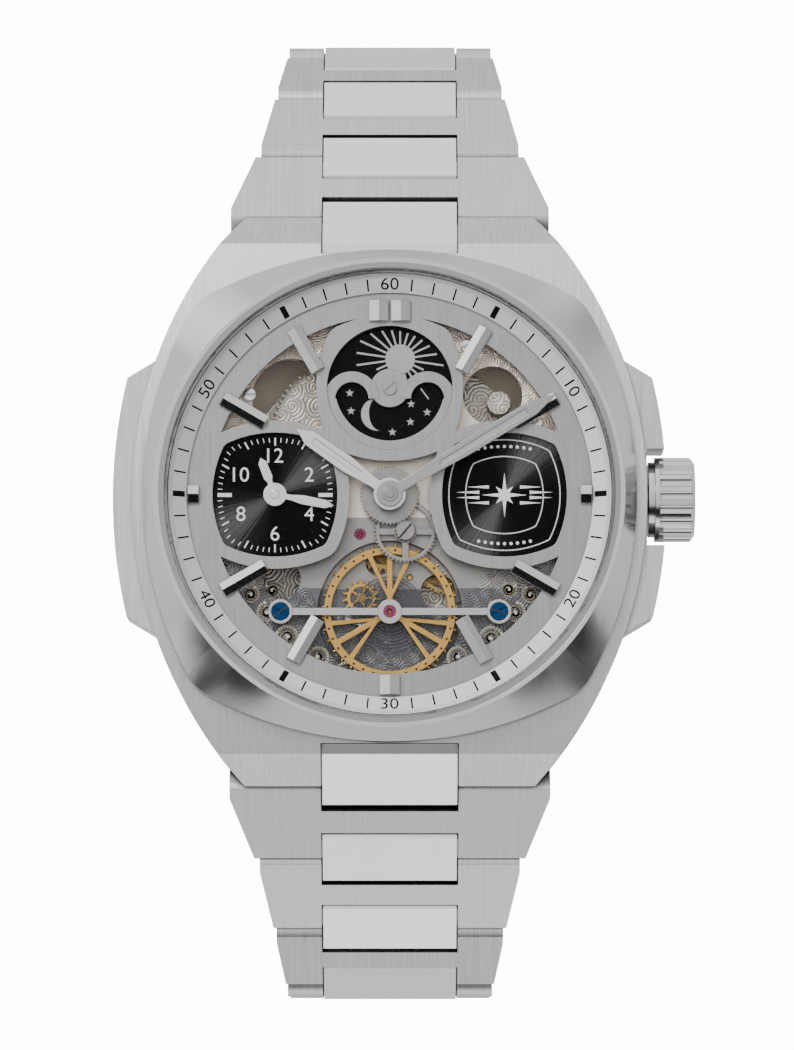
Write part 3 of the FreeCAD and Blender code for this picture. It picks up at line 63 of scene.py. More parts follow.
# ---------------------------------------------------------------- node helpers
class Shader:
    """A material being built: add() makes a node, link() joins sockets."""

    def __init__(self, name):
        self.material = bpy.data.materials.new(name)
        self.material.use_nodes = True
        self.tree = self.material.node_tree
        self.surface = self.tree.nodes["Principled BSDF"]
        self.output = self.tree.nodes["Material Output"]
        self.edges = None

    def add(self, kind, **values):
        node = self.tree.nodes.new(kind)
        for key, value in values.items():
            if key in node.inputs:
                node.inputs[key].default_value = value
            else:
                setattr(node, key, value)
        return node

    def link(self, source, target):
        self.tree.links.new(source, target)

    def set(self, **values):
        for key, value in values.items():
            self.surface.inputs[key.replace("_", " ")].default_value = value
        return self

    def position(self):
        return self.add("ShaderNodeTexCoord").outputs["Object"]

    def scaled(self, source, scale, offset=(0, 0, 0)):
        mapping = self.add("ShaderNodeMapping", vector_type="POINT")
        mapping.inputs["Scale"].default_value = scale
        mapping.inputs["Location"].default_value = offset
        self.link(source, mapping.inputs["Vector"])
        return mapping.outputs["Vector"]

    def noise(self, vector, scale, detail):
        node = self.add("ShaderNodeTexNoise", Scale=scale, Detail=detail)
        self.link(vector, node.inputs["Vector"])
        return node.outputs["Fac"]

    def ramp(self, factor, *stops):
        node = self.add("ShaderNodeValToRGB")
        elements = node.color_ramp.elements
        while len(elements) < len(stops):
            elements.new(0.5)
        for element, (place, colour) in zip(elements, stops):
            element.position = place
            element.color = (*colour, 1)
        self.link(factor, node.inputs["Fac"])
        return node.outputs["Color"]

    def math(self, operation, *values):
        node = self.add("ShaderNodeMath", operation=operation)
        for socket, value in zip(node.inputs, values):
            if isinstance(value, (int, float)):
                socket.default_value = value
            else:
                self.link(value, socket)
        return node.outputs[0]

    def crevices(self, reach=0.45, depth=0.55):
        """Darkens the base colour in gaps and inner corners, where little light gets in."""
        base = self.surface.inputs["Base Color"]
        mix = self.add("ShaderNodeMix", data_type="RGBA", blend_type="MULTIPLY")
        mix.inputs[0].default_value = 1.0
        if base.is_linked:
            self.link(base.links[0].from_socket, mix.inputs[COLOUR_A])
        else:
            mix.inputs[COLOUR_A].default_value = base.default_value
        open_part = self.add("ShaderNodeAmbientOcclusion", Distance=reach * MM, samples=6).outputs["AO"]
        low = 1 - depth
        self.link(self.ramp(open_part, (0.25, (low, low, low)), (0.8, (1, 1, 1))), mix.inputs[COLOUR_B])
        self.link(mix.outputs[COLOUR_RESULT], base)

    def soft_edges(self, radius=0.07):
        """Catches the light along every edge, as a machined edge does."""
        self.edges = self.add("ShaderNodeBevel", Radius=radius * MM, samples=4).outputs["Normal"]
        self.link(self.edges, self.surface.inputs["Normal"])
        return self

    def between(self, factor, low, high):
        """A number that runs from low to high as factor runs from 0 to 1."""
        node = self.add("ShaderNodeMapRange")
        node.inputs["To Min"].default_value, node.inputs["To Max"].default_value = low, high
        self.link(factor, node.inputs["Value"])
        return node.outputs["Result"]

    def split(self, vector):
        """The X and Y of a vector."""
        node = self.add("ShaderNodeSeparateXYZ")
        self.link(vector, node.inputs["Vector"])
        return node.outputs["X"], node.outputs["Y"]

    def bump(self, height, strength, distance):
        node = self.add("ShaderNodeBump", Strength=strength, Distance=distance)
        self.link(height, node.inputs["Height"])
        if self.edges:
            self.link(self.edges, node.inputs["Normal"])
        self.link(node.outputs["Normal"], self.surface.inputs["Normal"])


def metal(name, colour, roughness):
    shader = Shader(name)
    shader.set(Base_Color=(*colour, 1), Metallic=1.0, Roughness=roughness)
    return shader.soft_edges()


def brushed(name, colour, roughness, grain, depth):
    """Steel with fine parallel scratches; grain is how quickly they change along X, Y and Z, per metre."""
    shader = metal(name, colour, roughness)
    streaks = shader.noise(shader.scaled(shader.position(), grain), 1.0, 3.0)
    low = tuple(v * (1 - depth) for v in colour)
    high = tuple(min(1, v * (1 + depth)) for v in colour)
    shader.link(shader.ramp(streaks, (0.25, low), (0.75, high)), shader.surface.inputs["Base Color"])
    gloss = shader.between(streaks, roughness - 0.06, roughness + 0.1)
    shader.link(gloss, shader.surface.inputs["Roughness"])
    shader.bump(streaks, 0.12, 0.00002)
    return shader


def polished(name, colour, roughness):
    """Polished metal, slightly uneven in its gloss."""
    shader = metal(name, colour, roughness)
    smear = shader.noise(shader.scaled(shader.position(), (220, 220, 220)), 1.0, 4.0)
    shader.link(shader.between(smear, roughness * 0.8, roughness * 1.3), shader.surface.inputs["Roughness"])
    return shader


def sunray(name, x, y, turn):
    """A black dial whose brushing runs out from its centre, with painted sheen: its colour is lighter along
    two opposite beams, where the sunray finish catches the light.
    """
    shader = Shader(name)
    across, up = shader.split(shader.scaled(shader.position(), (1, 1, 0), (-x * MM, -y * MM, 0)))
    angle = shader.math("ARCTAN2", up, across)
    # Painted sheen: the colour is made lighter along two opposite beams, turned by turn degrees.
    from_sheen_axis = shader.math("SUBTRACT", angle, math.radians(turn))
    painted_sheen = shader.math("MULTIPLY", shader.math("COSINE", shader.math("MULTIPLY", from_sheen_axis, 2.0)), 0.5)
    fine = shader.add("ShaderNodeTexNoise", noise_dimensions="1D", Scale=26.0, Detail=5.0)
    shader.link(angle, fine.inputs["W"])
    mixed = shader.math("ADD", painted_sheen, shader.math("MULTIPLY", fine.outputs["Fac"], 0.35))
    # The lightest stop is the painted sheen; the two darker stops are the dial's own black brushing.
    stops = (0.1, (0.003, 0.003, 0.004)), (0.5, (0.012, 0.012, 0.013)), (0.85, (0.16, 0.16, 0.165))
    shader.link(shader.ramp(mixed, *stops), shader.surface.inputs["Base Color"])
    shader.set(Metallic=0.3, Roughness=0.4, Specular_IOR_Level=0.05)
    return shader


def flat(name, colour, roughness=0.5, metallic=0.0):
    shader = Shader(name)
    return shader.set(Base_Color=(*colour, 1), Roughness=roughness, Metallic=metallic)


def crystal(name):
    """Clear crystal: light passes straight through, with a weak reflection that grows towards its edge."""
    shader = Shader(name)
    clear = shader.add("ShaderNodeBsdfTransparent")
    shine = shader.add("ShaderNodeBsdfGlossy", Roughness=0.02)
    facing = shader.add("ShaderNodeLayerWeight", Blend=0.1)
    amount = shader.math("MULTIPLY", facing.outputs["Fresnel"], 0.18)
    mix = shader.add("ShaderNodeMixShader")
    shader.link(amount, mix.inputs["Fac"])
    shader.link(clear.outputs[0], mix.inputs[1])
    shader.link(shine.outputs[0], mix.inputs[2])
    shader.link(mix.outputs[0], shader.output.inputs["Surface"])
    shader.tree.nodes.remove(shader.surface)
    return shader


def engraved(name, high, low, cell, band_radius, bands=()):
    """A frosted plate with worn scrollwork outside band_radius: a spiral in every cell, which is cell wide.

    Each band names a height along Y, and the high and low colours of the plate below it.
    """
    shader = metal(name, high, 0.36)
    place = shader.position()
    wander = shader.noise(place, 900.0, 2.0)
    cells = shader.add("ShaderNodeTexVoronoi", voronoi_dimensions="2D", Scale=1000.0 / cell, Randomness=0.8)
    shader.link(place, cells.inputs["Vector"])
    scaled = shader.add("ShaderNodeVectorMath", operation="SUBTRACT")
    shader.link(shader.scaled(place, (1000.0 / cell,) * 3), scaled.inputs[0])
    shader.link(shader.scaled(cells.outputs["Position"], (1000.0 / cell,) * 3), scaled.inputs[1])
    across, up = shader.split(scaled.outputs["Vector"])
    twist = shader.math("MULTIPLY", shader.math("ARCTAN2", up, across), 0.5)
    ring = shader.math("MULTIPLY", cells.outputs["Distance"], 17.0)
    ring = shader.math("ADD", ring, shader.math("MULTIPLY", wander, 3.0))
    spiral = shader.math("ABSOLUTE", shader.math("SINE", shader.math("ADD", ring, twist)))
    grain = shader.noise(place, 14000.0, 2.0)
    reach = shader.add("ShaderNodeVectorMath", operation="LENGTH")
    shader.link(shader.scaled(place, (1000, 1000, 0)), reach.inputs[0])
    band = shader.add("ShaderNodeMapRange", interpolation_type="SMOOTHSTEP")
    band.inputs["From Min"].default_value = band_radius
    band.inputs["From Max"].default_value = band_radius + 0.8
    shader.link(reach.outputs["Value"], band.inputs["Value"])
    blend = shader.add("ShaderNodeMix", data_type="FLOAT")
    shader.link(band.outputs["Result"], blend.inputs[0])
    shader.link(shader.math("ADD", shader.math("MULTIPLY", grain, 0.5), 0.25), blend.inputs[FLOAT_A])
    shader.link(spiral, blend.inputs[FLOAT_B])
    spiral = blend.outputs[FLOAT_RESULT]
    colour = shader.ramp(spiral, (0.06, low), (0.42, high))
    for edge, band_high, band_low in bands:
        other = shader.ramp(spiral, (0.06, band_low), (0.42, band_high))
        under = shader.math("LESS_THAN", shader.split(place)[1], edge * MM)
        mix = shader.add("ShaderNodeMix", data_type="RGBA")
        shader.link(under, mix.inputs[0])
        shader.link(colour, mix.inputs[COLOUR_A])
        shader.link(other, mix.inputs[COLOUR_B])
        colour = mix.outputs[COLOUR_RESULT]
    shader.link(colour, shader.surface.inputs["Base Color"])
    shader.bump(spiral, 0.35, 0.00005)
    return shader


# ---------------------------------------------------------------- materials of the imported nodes
case_steel = brushed("case_brushed", (0.56, 0.56, 0.56), 0.34, grain=(7000, 160, 900), depth=0.14)
link_steel = brushed("link_brushed", (0.54, 0.54, 0.54), 0.34, grain=(7000, 160, 160), depth=0.14)
mirror_steel = polished("steel_polished", (0.74, 0.74, 0.74), 0.14)
rod_steel = polished("bridge_polished", (0.5, 0.49, 0.48), 0.16)
bezel_steel = polished("bezel_polished", (0.58, 0.58, 0.58), 0.16)
dial_steel = brushed("dial_silver", (0.34, 0.34, 0.34), 0.42, grain=(5000, 200, 200), depth=0.12)
flange_steel = flat("flange_silver", (0.8, 0.8, 0.8), 0.45, 0.2)
marker_steel = polished("marker_steel", (0.62, 0.62, 0.62), 0.1)
hand_steel = polished("hand_steel", (0.68, 0.68, 0.68), 0.24).soft_edges(0.1)
wheel_steel = brushed("wheel_steel", (0.3, 0.29, 0.28), 0.3, grain=(3000, 3000, 200), depth=0.12)
plate_grey = engraved("plate_champagne", (0.74, 0.66, 0.57), (0.34, 0.27, 0.2), 1.15, 9.2, bands=(
    (-1.6, (0.29, 0.28, 0.27), (0.1, 0.095, 0.085)), (-7.1, (0.13, 0.132, 0.138), (0.035, 0.035, 0.036))))
bridge_grey = engraved("bridge_grey", (0.5, 0.46, 0.41), (0.16, 0.135, 0.11), 1.6, 6.0)
gilt = polished("gilt", (0.55, 0.33, 0.1), 0.26)
gilt_wheel = brushed("gilt_wheel", (0.5, 0.33, 0.13), 0.3, grain=(3000, 3000, 200), depth=0.14)
blued = polished("blued_steel", (0.008, 0.045, 0.13), 0.2)
spring_steel = polished("spring_steel", (0.12, 0.125, 0.14), 0.3)
ruby = Shader("ruby").set(Base_Color=(0.3, 0.03, 0.12, 1), Roughness=0.08)
ruby.surface.inputs["Transmission Weight"].default_value = 0.3
well_floor = flat("well_champagne", (0.56, 0.5, 0.42), 0.5, 0.5)
gasket = flat("gasket", (0.3, 0.3, 0.3), 0.5)
glass = crystal("crystal_clear")
moon_black = flat("moon_black", (0.004, 0.004, 0.005), 0.4).set(Specular_IOR_Level=0.05)
# The last number turns each dial's beams of painted sheen.
dual_black = sunray("dual_sunray", DUAL_X, 0, 35)
emblem_black = sunray("emblem_sunray", EMBLEM_X, 0, 60)
link_steel.crevices(0.7, 0.9)
for shader in (case_steel, mirror_steel, rod_steel, bezel_steel, dial_steel, marker_steel, hand_steel,
               wheel_steel, plate_grey, bridge_grey, gilt, gilt_wheel, blued):
    shader.crevices()
for shader in (flange_steel, well_floor):
    shader.crevices(0.3, 0.25)

NODE_MATERIALS = {
    "bezel": bezel_steel, "crystal": glass, "crystal_gasket": gasket,
    "case_back_crystal": glass, "case_back_screws": mirror_steel,
    "case_end_links": mirror_steel, "movement_ring": bridge_grey, "flange_ring": flange_steel,
    "dial_plate": dial_steel, "hour_markers": marker_steel, "dual_time_dial": dual_black,
    "emblem_dial": emblem_black, "sun_moon_bridge": dial_steel, "main_plate": plate_grey,
    "train_bridge": bridge_grey, "balance_bridge": rod_steel, "balance_bridge_screws": blued,
    "movement_screws": mirror_steel, "jewels": ruby, "minute_hand": hand_steel,
    "minute_wheel": wheel_steel, "dual_hour_hand": hand_steel, "dual_minute_hand": hand_steel,
    "sun_moon_disc": moon_black, "barrel": bridge_grey, "centre_wheel": gilt_wheel, "third_wheel": gilt_wheel,
    "fourth_wheel": gilt_wheel, "escape_wheel": gilt, "pallet_fork": mirror_steel, "balance_wheel": gilt,
    "hairspring": spring_steel, "rotor": bridge_grey, "clutch_wheel": mirror_steel,
    "winding_stem": mirror_steel, "crown": bezel_steel, "clasp_cover": link_steel,
    "clasp_blade_1": mirror_steel, "clasp_blade_2": mirror_steel,
    "clasp_button_left": mirror_steel, "clasp_button_right": mirror_steel,
}


def dress(node, shaders, choose=None):
    """Gives a node its materials; choose(face) picks one of them for a face."""
    mesh = nodes[node].data
    mesh.materials.clear()
    for shader in shaders:
        mesh.materials.append(shader.material)
    for face in mesh.polygons:
        face.material_index = choose(face) if choose else 0


def solids(mesh):
    """The number of the separate solid that each vertex belongs to."""
    owner = list(range(len(mesh.vertices)))

    def root(n):
        while owner[n] != n:
            owner[n] = owner[owner[n]]
            n = owner[n]
        return n

    spots = {}
    for vertex in mesh.vertices:
        key = tuple(round(v * 1e6) for v in vertex.co)
        owner[root(vertex.index)] = root(spots.setdefault(key, vertex.index))
    for edge in mesh.edges:
        owner[root(edge.vertices[0])] = root(edge.vertices[1])
    return [root(n) for n in range(len(owner))]


def dress_link(node):
    """The middle links are polished; the others are brushed along the bracelet."""
    mesh = nodes[node].data
    owner = solids(mesh)
    reach = {}
    for vertex in mesh.vertices:
        solid = owner[vertex.index]
        reach[solid] = max(reach.get(solid, 0.0), abs(vertex.co.x))
    centre = {solid for solid in reach if reach[solid] < CENTRE_LINK_REACH * MM}
    dress(node, (link_steel, mirror_steel), lambda face: int(owner[face.vertices[0]] in centre))


def inside(face):
    """Whether a face looks up from under the movement, where its openings show it."""
    x, y, z = face.center
    return int(face.normal.z > 0.5 and z < WELL_DEPTH * MM and math.hypot(x, y) < WELL_REACH * MM)


for node in nodes:
    if node.startswith("link_"):
        dress_link(node)
    elif node in ("case_middle", "case_back"):
        dress(node, (case_steel, well_floor), inside)
    elif node == "hour_hand":
        dress(node, (hand_steel, wheel_steel), lambda face: int(face.center.z < DIAL * MM))
    else:
        dress(node, (NODE_MATERIALS[node],))


# ---------------------------------------------------------------- flat printed shapes
print_black = flat("print_black", (0.006, 0.006, 0.007), 0.5).set(Specular_IOR_Level=0.05)
print_white = flat("print_white", (0.85, 0.86, 0.87), 0.4)
silver_print = flat("print_silver", (0.4, 0.4, 0.4), 0.35, 0.5)
# Near-black for screw slots and drilled holes: painted shade laid on top in place of the recesses.
painted_hole_shade = flat("painted_hole_shade", (0.01, 0.01, 0.012), 0.5)
scroll_gold = flat("scroll_gold", (0.72, 0.64, 0.47), 0.35, 0.7)


def add_mesh(name, vertices, faces, shader, body):
    mesh = bpy.data.meshes.new(name)
    mesh.from_pydata([tuple(v) for v in vertices], [], faces)
    mesh.materials.append(shader.material)
    item = bpy.data.objects.new(name, mesh)
    bpy.context.scene.collection.objects.link(item)
    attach(item, body)


class Print:
    """Flat shapes gathered into one piece, in millimetres in the plane of a dial."""

    def __init__(self, height, lift=PRINT_LIFT, surface=None):
        self.lift = lift
        self.surface = surface or (lambda x, y: height)
        self.vertices, self.faces = [], []

    def polygon(self, points):
        """A thin prism over a convex outline."""
        start, count = len(self.vertices), len(points)
        for step in (0.0, self.lift):
            self.vertices += [Vector((x, y, self.surface(x, y) + 0.002 + step)) * MM for x, y in points]
        top = list(range(start + count, start + 2 * count))
        self.faces.append(top)
        self.faces.append(list(range(start, start + count))[::-1])
        for n in range(count):
            m = (n + 1) % count
            self.faces.append([start + n, start + m, top[m], top[n]])

    def bar(self, x, y, length, width, degrees):
        """A bar centred on x, y, its length along the direction degrees."""
        turn = math.radians(degrees)
        along, across = (math.cos(turn), math.sin(turn)), (-math.sin(turn), math.cos(turn))
        self.polygon([
            (x + along[0] * a * length / 2 + across[0] * b * width / 2,
             y + along[1] * a * length / 2 + across[1] * b * width / 2)
            for a, b in ((-1, -1), (1, -1), (1, 1), (-1, 1))
        ])

    def line(self, points, width, closed=False):
        """A ribbon through points."""
        ends = points[1:] + points[:1] if closed else points[1:]
        for (ax, ay), (bx, by) in zip(points, ends):
            length = math.dist((ax, ay), (bx, by)) + width * 0.5
            self.bar((ax + bx) / 2, (ay + by) / 2, length, width, math.degrees(math.atan2(by - ay, bx - ax)))

    def done(self, name, shader, body, slot):
        add_mesh(name, self.vertices, self.faces, shader, body)


def at(radius, clock, x=0.0, y=0.0):
    """The point at clock degrees, clockwise from 12 o'clock."""
    turn = math.radians(clock)
    return x + radius * math.sin(turn), y + radius * math.cos(turn)


def disc_points(x, y, radius, count=28):
    return [(x + radius * math.cos(n * math.tau / count), y + radius * math.sin(n * math.tau / count))
            for n in range(count)]


def text(words, size, spot, height, clock, shader, body, name, tilt=0.0):
    """A number printed with its middle on spot, turned clockwise by clock and tipped to a sloping surface."""
    curve = bpy.data.curves.new(name, "FONT")
    curve.body, curve.size = words, size * MM
    curve.align_x, curve.align_y = "CENTER", "CENTER"
    curve.extrude = PRINT_LIFT * MM / 2
    curve.resolution_u = 4
    source = bpy.data.objects.new(name + "_outline", curve)
    bpy.context.scene.collection.objects.link(source)
    bpy.context.view_layer.update()
    mesh = bpy.data.meshes.new_from_object(source.evaluated_get(bpy.context.evaluated_depsgraph_get()))
    bpy.data.objects.remove(source)
    middle = (min(v.co.x for v in mesh.vertices) + max(v.co.x for v in mesh.vertices)) / 2
    mesh.transform(Matrix.Translation((-middle, 0, 0)))
    x, y = spot
    turn = Matrix.Rotation(math.radians(-clock), 4, "Z")
    tip = Matrix.Rotation(math.radians(tilt), 4, "X")
    mesh.transform(Matrix.Translation(Vector((x, y, height + 0.01)) * MM) @ turn @ tip)
    mesh.materials.clear()
    mesh.materials.append(shader.material)
    item = bpy.data.objects.new(name, mesh)
    bpy.context.scene.collection.objects.link(item)
    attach(item, body)


def flange_height(x, y):
    radius = math.hypot(x, y)
    (r0, z0), (r1, z1) = FLANGE_IN, FLANGE_OUT
    return z0 + (z1 - z0) * (radius - r0) / (r1 - r0)


# ---------------------------------------------------------------- minute track
def minute_track():
    fine, blocks = Print(0, surface=flange_height), Print(0, surface=flange_height)
    for minute in range(60):
        clock = minute * 6
        if minute % 10 == 0:
            continue
        middle = at(TRACK_RADIUS, clock)
        if minute % 5 == 0:
            blocks.bar(*middle, 0.9, 0.44, 90 - clock)
        else:
            fine.bar(*middle, 0.86, 0.13, 90 - clock)
    for minute in (15, 45):
        blocks.bar(*at(TRACK_RADIUS, minute * 6), 0.78, 0.42, 90 - minute * 6)
    fine.done("minute_ticks", print_black, "head", "black_dial")
    blocks.done("five_minute_blocks", print_black, "head", "black_dial")
    slope = math.degrees(math.atan2(FLANGE_OUT[1] - FLANGE_IN[1], FLANGE_OUT[0] - FLANGE_IN[0]))
    for minute in (60, 10, 20, 30, 40, 50):
        clock = minute * 6 % 360
        outward = 90 < clock < 270
        spot = at(TRACK_RADIUS, clock)
        turn, tilt = (clock + 180, -slope) if outward else (clock, slope)
        text(str(minute), 1.5, spot, flange_height(*spot), turn, print_black, "head",
             f"minute_{minute}", tilt)


# ---------------------------------------------------------------- second time zone and emblem dials
def cushion_point(half, side, degrees):
    """Where a ray from the centre of a cushion outline meets it.

    The outline is four arcs of radius side, half away from the centre at their middles, with rounded corners.
    """
    reach = side - half
    turn = math.radians(degrees)
    c, s = math.cos(turn), math.sin(turn)
    best = 99.0
    for ax, ay in ((-reach, 0), (reach, 0), (0, -reach), (0, reach)):
        b = c * ax + s * ay
        best = min(best, b + math.sqrt(b * b - ax * ax - ay * ay + side * side))
    best = min(best, half * 1.19)
    return best * c, best * s


def dual_dial():
    marks = Print(SUB_TOP)
    bars = Print(SUB_TOP)
    for minute in range(60):
        clock = minute * 6
        radius = math.hypot(*cushion_point(4.45, 8.2, 90 - clock))
        long = minute % 5 == 0
        length = 0.62 if long else 0.36
        x, y = at(radius - length / 2, clock, DUAL_X)
        if minute in (15, 45):
            bars.bar(*at(radius - 0.55, clock, DUAL_X), 1.1, 0.3, 90 - clock)
        else:
            (bars if long else marks).bar(x, y, length, 0.13 if long else 0.07, 90 - clock)
    marks.done("dual_minute_marks", print_white, "head", "dial_silver")
    bars.done("dual_hour_marks", print_white, "head", "dial_silver")
    for hour in (12, 2, 4, 6, 8, 10):
        radius = 3.0 if hour == 12 else DUAL_NUMBERS
        spot = at(radius, hour * 30, DUAL_X)
        text(str(hour), 1.62, spot, SUB_TOP, 0, print_white, "head", f"dual_{hour}")


# The height of each wing's line, and where it starts and ends, from the star's centre.
STAR_WINGS = ((0.62, 1.2, 2.9), (0.21, 1.95, 3.75), (-0.2, 1.95, 3.75), (-0.61, 1.2, 2.9))


def emblem_dial():
    """Two cushion borders, rows of dots and a winged eight-pointed star."""
    border = Print(SUB_TOP)
    for half, width in ((4.3, 0.09), (3.0, 0.09)):
        side = half * 1.75
        points = [cushion_point(half, side, n * 360 / 96) for n in range(96)]
        border.line([(EMBLEM_X + x, y) for x, y in points], width, closed=True)
    border.done("emblem_border", print_white, "head", "dial_silver")
    star = Print(SUB_TOP)
    for n in range(8):
        clock, reach = n * 45, 1.75 if n % 2 == 0 else 0.95
        tip = at(reach, clock, EMBLEM_X)
        for side in (-1, 1):
            wing = at(0.42, clock + side * 22.5, EMBLEM_X)
            points = [(EMBLEM_X, 0.0), wing, tip]
            star.polygon(points if side < 0 else points[::-1])
    for side in (-1, 1):
        for height, start, end in STAR_WINGS:
            inner, outer = EMBLEM_X + side * start, EMBLEM_X + side * end
            points = [(inner, height - 0.13), (outer, height), (inner, height + 0.13)]
            star.polygon(points if side > 0 else points[::-1])
    for n in range(-4, 5):
        for level in (-1, 1):
            star.polygon(disc_points(EMBLEM_X + n * 0.5, level * (3.78 - 0.012 * n * n), 0.13, 12))
    star.done("emblem_star", print_white, "head", "dial_silver")


# ---------------------------------------------------------------- sun and moon
def sun_and_moon():
    sun_x, sun_y, radius = 0.8, MOON_Y + 2.3, 1.15
    rays = Print(MOON_TOP)
    for n in range(22):
        degrees = n * 360 / 22 + 8
        turn = math.radians(degrees)
        c, s = math.cos(turn), math.sin(turn)
        dx, dy = sun_x, sun_y - MOON_Y
        b = c * dx + s * dy
        reach = -b + math.sqrt(b * b - dx * dx - dy * dy + WINDOW_RADIUS ** 2)
        start, end = radius + 0.02, min(reach, 3.4)
        if s < -0.2:
            end = min(end, 2.0)
        middle = (start + end) / 2
        rays.bar(sun_x + c * middle, sun_y + s * middle, end - start, 0.15, degrees)
    rays.done("sun_rays", silver_print, "sun_moon_disc", "dial_silver")
    sun = Print(MOON_TOP, lift=0.03)
    sun.polygon([(sun_x + radius * math.cos(a * math.pi / 24), sun_y + radius * math.sin(a * math.pi / 24))
                 for a in range(48)])
    sun.done("sun", silver_print, "sun_moon_disc", "dial_silver")
    moon = Print(MOON_TOP)
    steps = 20
    inner, outer = [], []
    for n in range(steps + 1):
        angle = math.radians(85 + 200 * n / steps)
        outer.append((-0.95 + 1.28 * math.cos(angle), MOON_Y - 2.0 + 1.28 * math.sin(angle)))
        share = math.sin(math.pi * n / steps)
        inner.append((outer[-1][0] + 0.62 * share, outer[-1][1] + 0.05 * share))
    for n in range(steps):
        moon.polygon([outer[n], inner[n], inner[n + 1], outer[n + 1]])
    moon.done("moon", silver_print, "sun_moon_disc", "dial_silver")
    stars = Print(MOON_TOP)
    for x, y in ((-3.1, -0.35), (-3.0, -1.75), (1.65, -1.2), (2.9, -1.85), (1.6, -2.6), (0.2, -3.4)):
        centre = (x, MOON_Y + y)
        for clock in range(0, 360, 72):
            notches = [at(0.14, clock + side, *centre) for side in (-36, 36)]
            stars.polygon([notches[1], at(0.34, clock, *centre), notches[0], centre])
    stars.bar(2.7, MOON_Y - 0.4, 1.05, 0.1, -54)
    stars.done("stars", silver_print, "sun_moon_disc", "dial_silver")


# ---------------------------------------------------------------- movement details
def screw_slots():
    """The slots of the two blued screws and a slotted cap over the minute wheel's arbor; each slot is a
    near-black bar laid on top, painted shade in place of the groove.
    """
    low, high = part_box("balance_bridge_screws")
    radius = (high.y - low.y) / 2 / MM
    y = (high.y + low.y) / 2 / MM
    slots = Print(high.z / MM, lift=0.01)
    for x, turn in ((low.x / MM + radius, 35), (high.x / MM - radius, -20)):
        slots.bar(x, y, radius * 1.9, 0.13, turn)
    slots.done("bridge_screw_slots", painted_hole_shade, "head", "blued")
    low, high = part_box("minute_wheel")
    x, y = (low.x + high.x) / 2 / MM, (low.y + high.y) / 2 / MM
    cap = Print(high.z / MM, lift=0.14)
    cap.polygon(disc_points(x, y, 0.72))
    cap.done("minute_wheel_cap", wheel_steel, "minute_wheel", "polished_steel")
    slot = Print(high.z / MM + 0.145, lift=0.008)
    slot.bar(x, y, 1.35, 0.16, 50)
    slot.done("minute_wheel_slot", painted_hole_shade, "minute_wheel", "polished_steel")


def balance_dots():
    """The poising drillings round the balance rim, as near-black discs laid on it: painted shade in place of
    the holes.
    """
    low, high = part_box("balance_wheel")
    x, y = (low.x + high.x) / 2 / MM, (low.y + high.y) / 2 / MM
    radius = (high.x - low.x) / 2 / MM - 0.42
    top = rim_top("balance_wheel", x, y, radius)
    dots = Print(top, lift=0.006)
    for n in range(36):
        dots.polygon(disc_points(*at(radius, n * 10 + 5, x, y), 0.1, 10))
    dots.done("balance_drillings", painted_hole_shade, "balance", "gold")


COIL_STEPS = 40
COILS = (  # x, y, outer radius, where the wire starts in degrees, which way it winds
    (-5.6, -12.4, 1.0, 200, 1), (-3.3, -13.6, 0.9, 250, -1), (3.0, -13.6, 0.9, 290, 1),
    (5.3, -12.4, 1.0, 340, -1), (-7.9, -10.9, 0.9, 160, -1), (7.8, -11.0, 0.95, 20, 1),
    (-9.5, -9.0, 0.8, 100, 1), (9.7, -9.0, 0.8, 80, -1), (10.9, -7.6, 0.65, 120, 1),
    (9.2, -7.2, 0.55, 30, -1), (-10.8, -7.6, 0.65, 60, -1), (-9.1, -7.2, 0.55, 140, 1),
    (-6.5, -10.6, 0.5, 20, 1), (6.4, -10.7, 0.5, 160, -1), (0.0, -14.1, 0.7, 270, 1),
)


def scrolls():
    """Raised scrollwork round the edge of the lower window: coils of pale gold wire."""
    wire = Print(0)
    for x, y, radius, start, hand in COILS:
        height = top_of("main_plate", x, y)
        wire.surface = lambda px, py, height=height: height
        points = []
        for n in range(COIL_STEPS + 1):
            turn = math.radians(start) + hand * n / COIL_STEPS * 3.4 * math.pi
            reach = radius * (1 - 0.8 * n / COIL_STEPS)
            points.append((x + reach * math.cos(turn), y + reach * math.sin(turn)))
        wire.line(points, 0.2)
        wire.polygon(disc_points(x, y, 0.16, 10))
    wire.done("lower_scrolls", scroll_gold, "head", "gold")


def top_of(node, x, y):
    """The height of a node's upper surface at x, y."""
    hit, spot, _, _ = nodes[node].ray_cast(Vector((x, y, 20)) * MM, Vector((0, 0, -1)))
    return spot.z / MM if hit else WELL_FLOOR


def rim_top(node, x, y, radius):
    """The height of the topmost vertex near a circle on a node."""
    best = -99.0
    for vertex in nodes[node].data.vertices:
        spot = vertex.co / MM
        if abs(math.hypot(spot.x - x, spot.y - y) - radius) < 0.6:
            best = max(best, spot.z)
    return best


# ---------------------------------------------------------------- camera, light and floor
CAMERA_TILT = math.radians(5.6)  # how far the camera stands towards 6 o'clock
CAMERA_DISTANCE, VIEW_HEIGHT = 470, 81.1
CAMERA_TARGET = (0.56, -2.37, DIAL)


def camera():
    """A long lens, nearly square to the dial."""
    away = Vector((0, -math.sin(CAMERA_TILT), math.cos(CAMERA_TILT)))
    data = bpy.data.cameras.new("camera")
    item = bpy.data.objects.new("camera", data)
    bpy.context.scene.collection.objects.link(item)
    item.location = (Vector(CAMERA_TARGET) + away * CAMERA_DISTANCE) * MM
    item.rotation_euler = (CAMERA_TILT, 0, 0)
    data.sensor_fit = "VERTICAL"
    data.angle = 2 * math.atan(VIEW_HEIGHT / 2 / CAMERA_DISTANCE)
    data.clip_start, data.clip_end = 0.01, 5
    bpy.context.scene.camera = item


